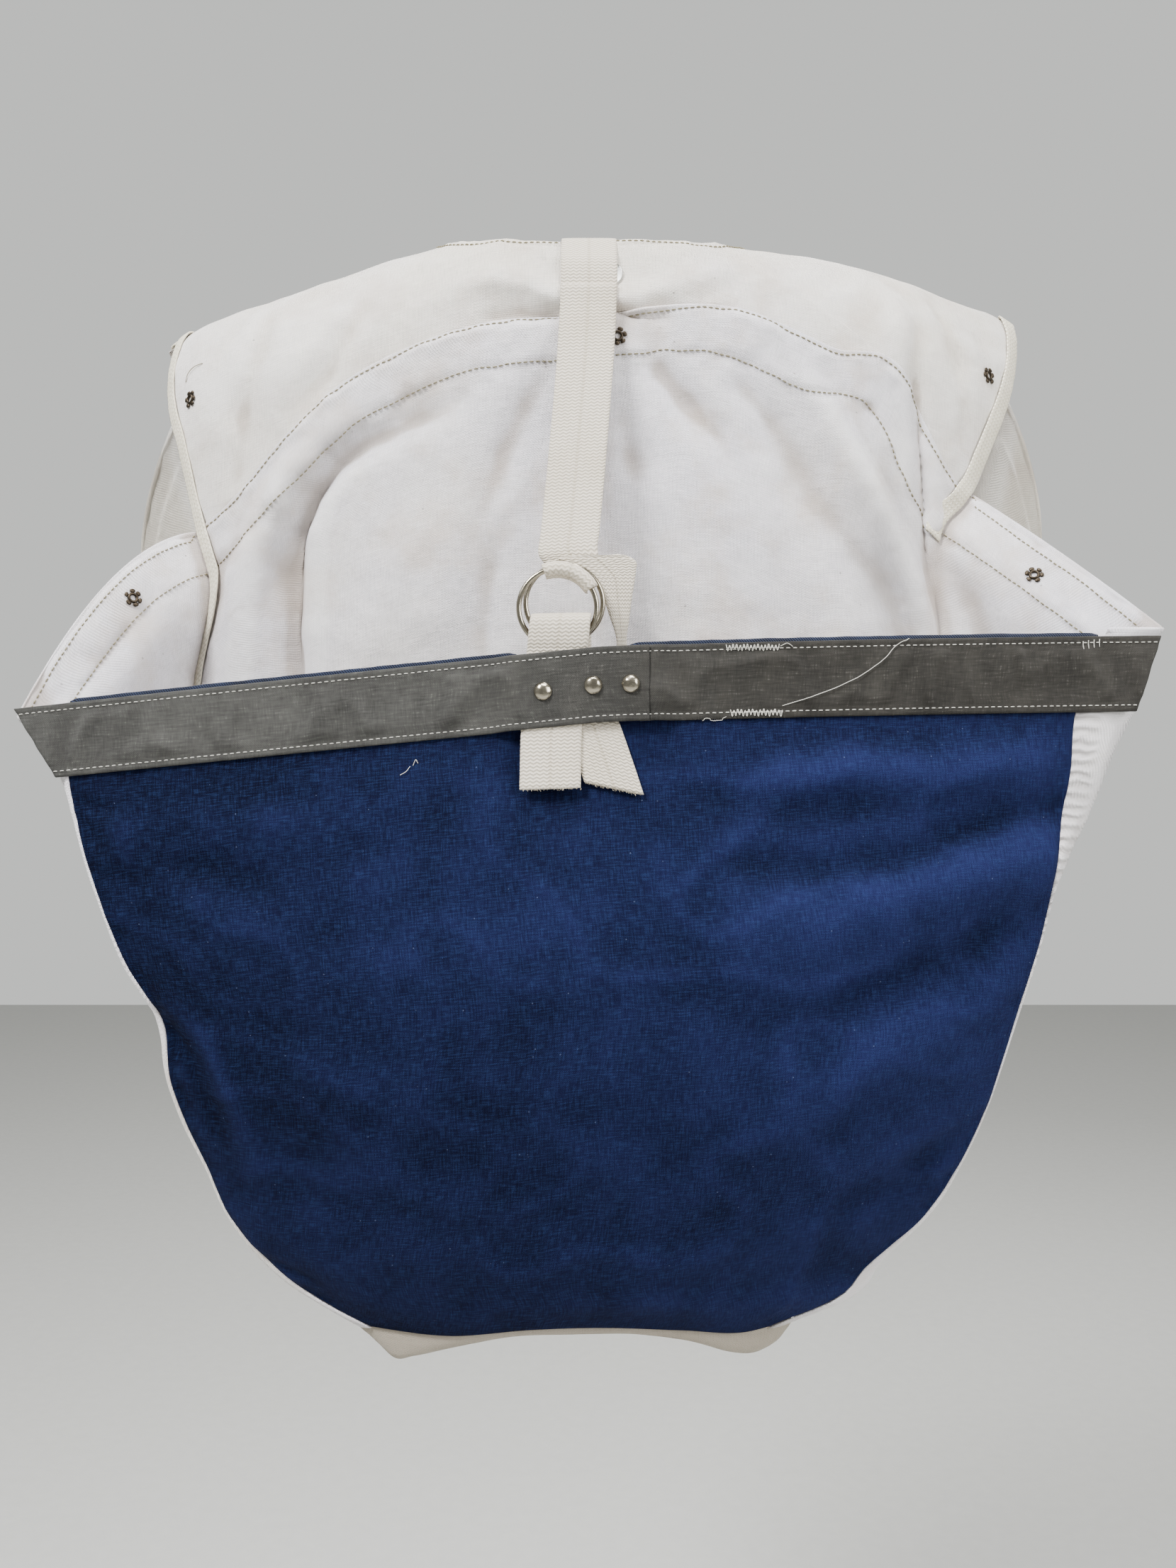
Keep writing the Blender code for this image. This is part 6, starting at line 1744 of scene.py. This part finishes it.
def make_stage():
    """The floor, the lights, the sky and the camera."""
    deselect()
    bpy.ops.mesh.primitive_plane_add(size=9.0, location=(0, 0.6, FLOOR_Z))
    floor = bpy.context.object
    floor.name = "floor"
    floor.data.materials.append(floor_finish())
    world = bpy.data.worlds.new("soft_sky")
    bpy.context.scene.world = world
    world.use_nodes = True
    sky = world.node_tree.nodes["Background"]
    sky.inputs["Color"].default_value = (0.80, 0.81, 0.79, 1)
    nodes, links = world.node_tree.nodes, world.node_tree.links
    direction = nodes.new("ShaderNodeTexCoord")
    split = nodes.new("ShaderNodeSeparateXYZ")
    strength = nodes.new("ShaderNodeMapRange")
    for key, value in ((1, 0.15), (2, 0.75), (3, SKY), (4, BACKDROP)):
        strength.inputs[key].default_value = value
    links.new(direction.outputs["Generated"], split.inputs[0])
    links.new(split.outputs[1], strength.inputs[0])
    links.new(strength.outputs[0], sky.inputs["Strength"])
    for name, place, size, energy in LIGHTS:
        lamp = bpy.data.lights.new(name, "AREA")
        lamp.shape = "RECTANGLE"
        lamp.size, lamp.size_y = size
        lamp.energy = energy
        holder = bpy.data.objects.new(name, lamp)
        bpy.context.collection.objects.link(holder)
        holder.location = place
        holder.rotation_euler = (Vector((0, 0, -0.3)) - holder.location).to_track_quat("-Z", "Y").to_euler()
    data = bpy.data.cameras.new("camera")
    camera = bpy.data.objects.new("camera", data)
    bpy.context.collection.objects.link(camera)
    camera.location = CAMERA
    camera.rotation_euler = (math.pi / 2, 0, 0)
    data.lens = CAMERA_PIXELS / 2212 * 36
    data.clip_start = 0.02
    bpy.context.scene.camera = camera


def main():
    make_stage()
    yoke = make_yoke()
    pouches = {}
    for half in (FRONT, REAR):
        pouches[half.name] = make_pouch(half)
        make_panel(half)
        make_bottom(half, pouches[half.name])
    make_band("band_left_cloth", FRONT, -MOUTH_CORNER, BAND_LAP_X, 190, ["band_left"])
    make_band("band_right_cloth", FRONT, BAND_UNDER_X, MOUTH_CORNER, 160, ["band_right"], under=True)
    make_band("rear_band_cloth", REAR, -MOUTH_CORNER, MOUTH_CORNER, 120, ["rear_band"])
    make_mouth_edge("mouth_edge_left", FRONT, -0.2660, -0.0365)
    make_mouth_edge("mouth_edge_right", FRONT, 0.0215, 0.2620)
    make_mouth_edge("rear_mouth_edge", REAR, -0.2664, 0.2664)
    side = 4 + 34
    make_armhole_tape("armhole_tape_left", False, TAPE_WIDTH_LEFT, pouches["front"], yoke, 46, side)
    make_armhole_tape("armhole_tape_right", True, TAPE_WIDTH_RIGHT, pouches["front"], yoke, 22, side)
    make_strap()
    make_strap_tail()
    make_ring_loop()
    make_ring("ring_front")
    make_ring("ring_rear")
    make_rivets()
    make_cap()
    for node, carriers, facing, turn in PRONG_SNAPS:
        make_prong_snap(node, carriers, facing, turn)
    make_threads()


main()
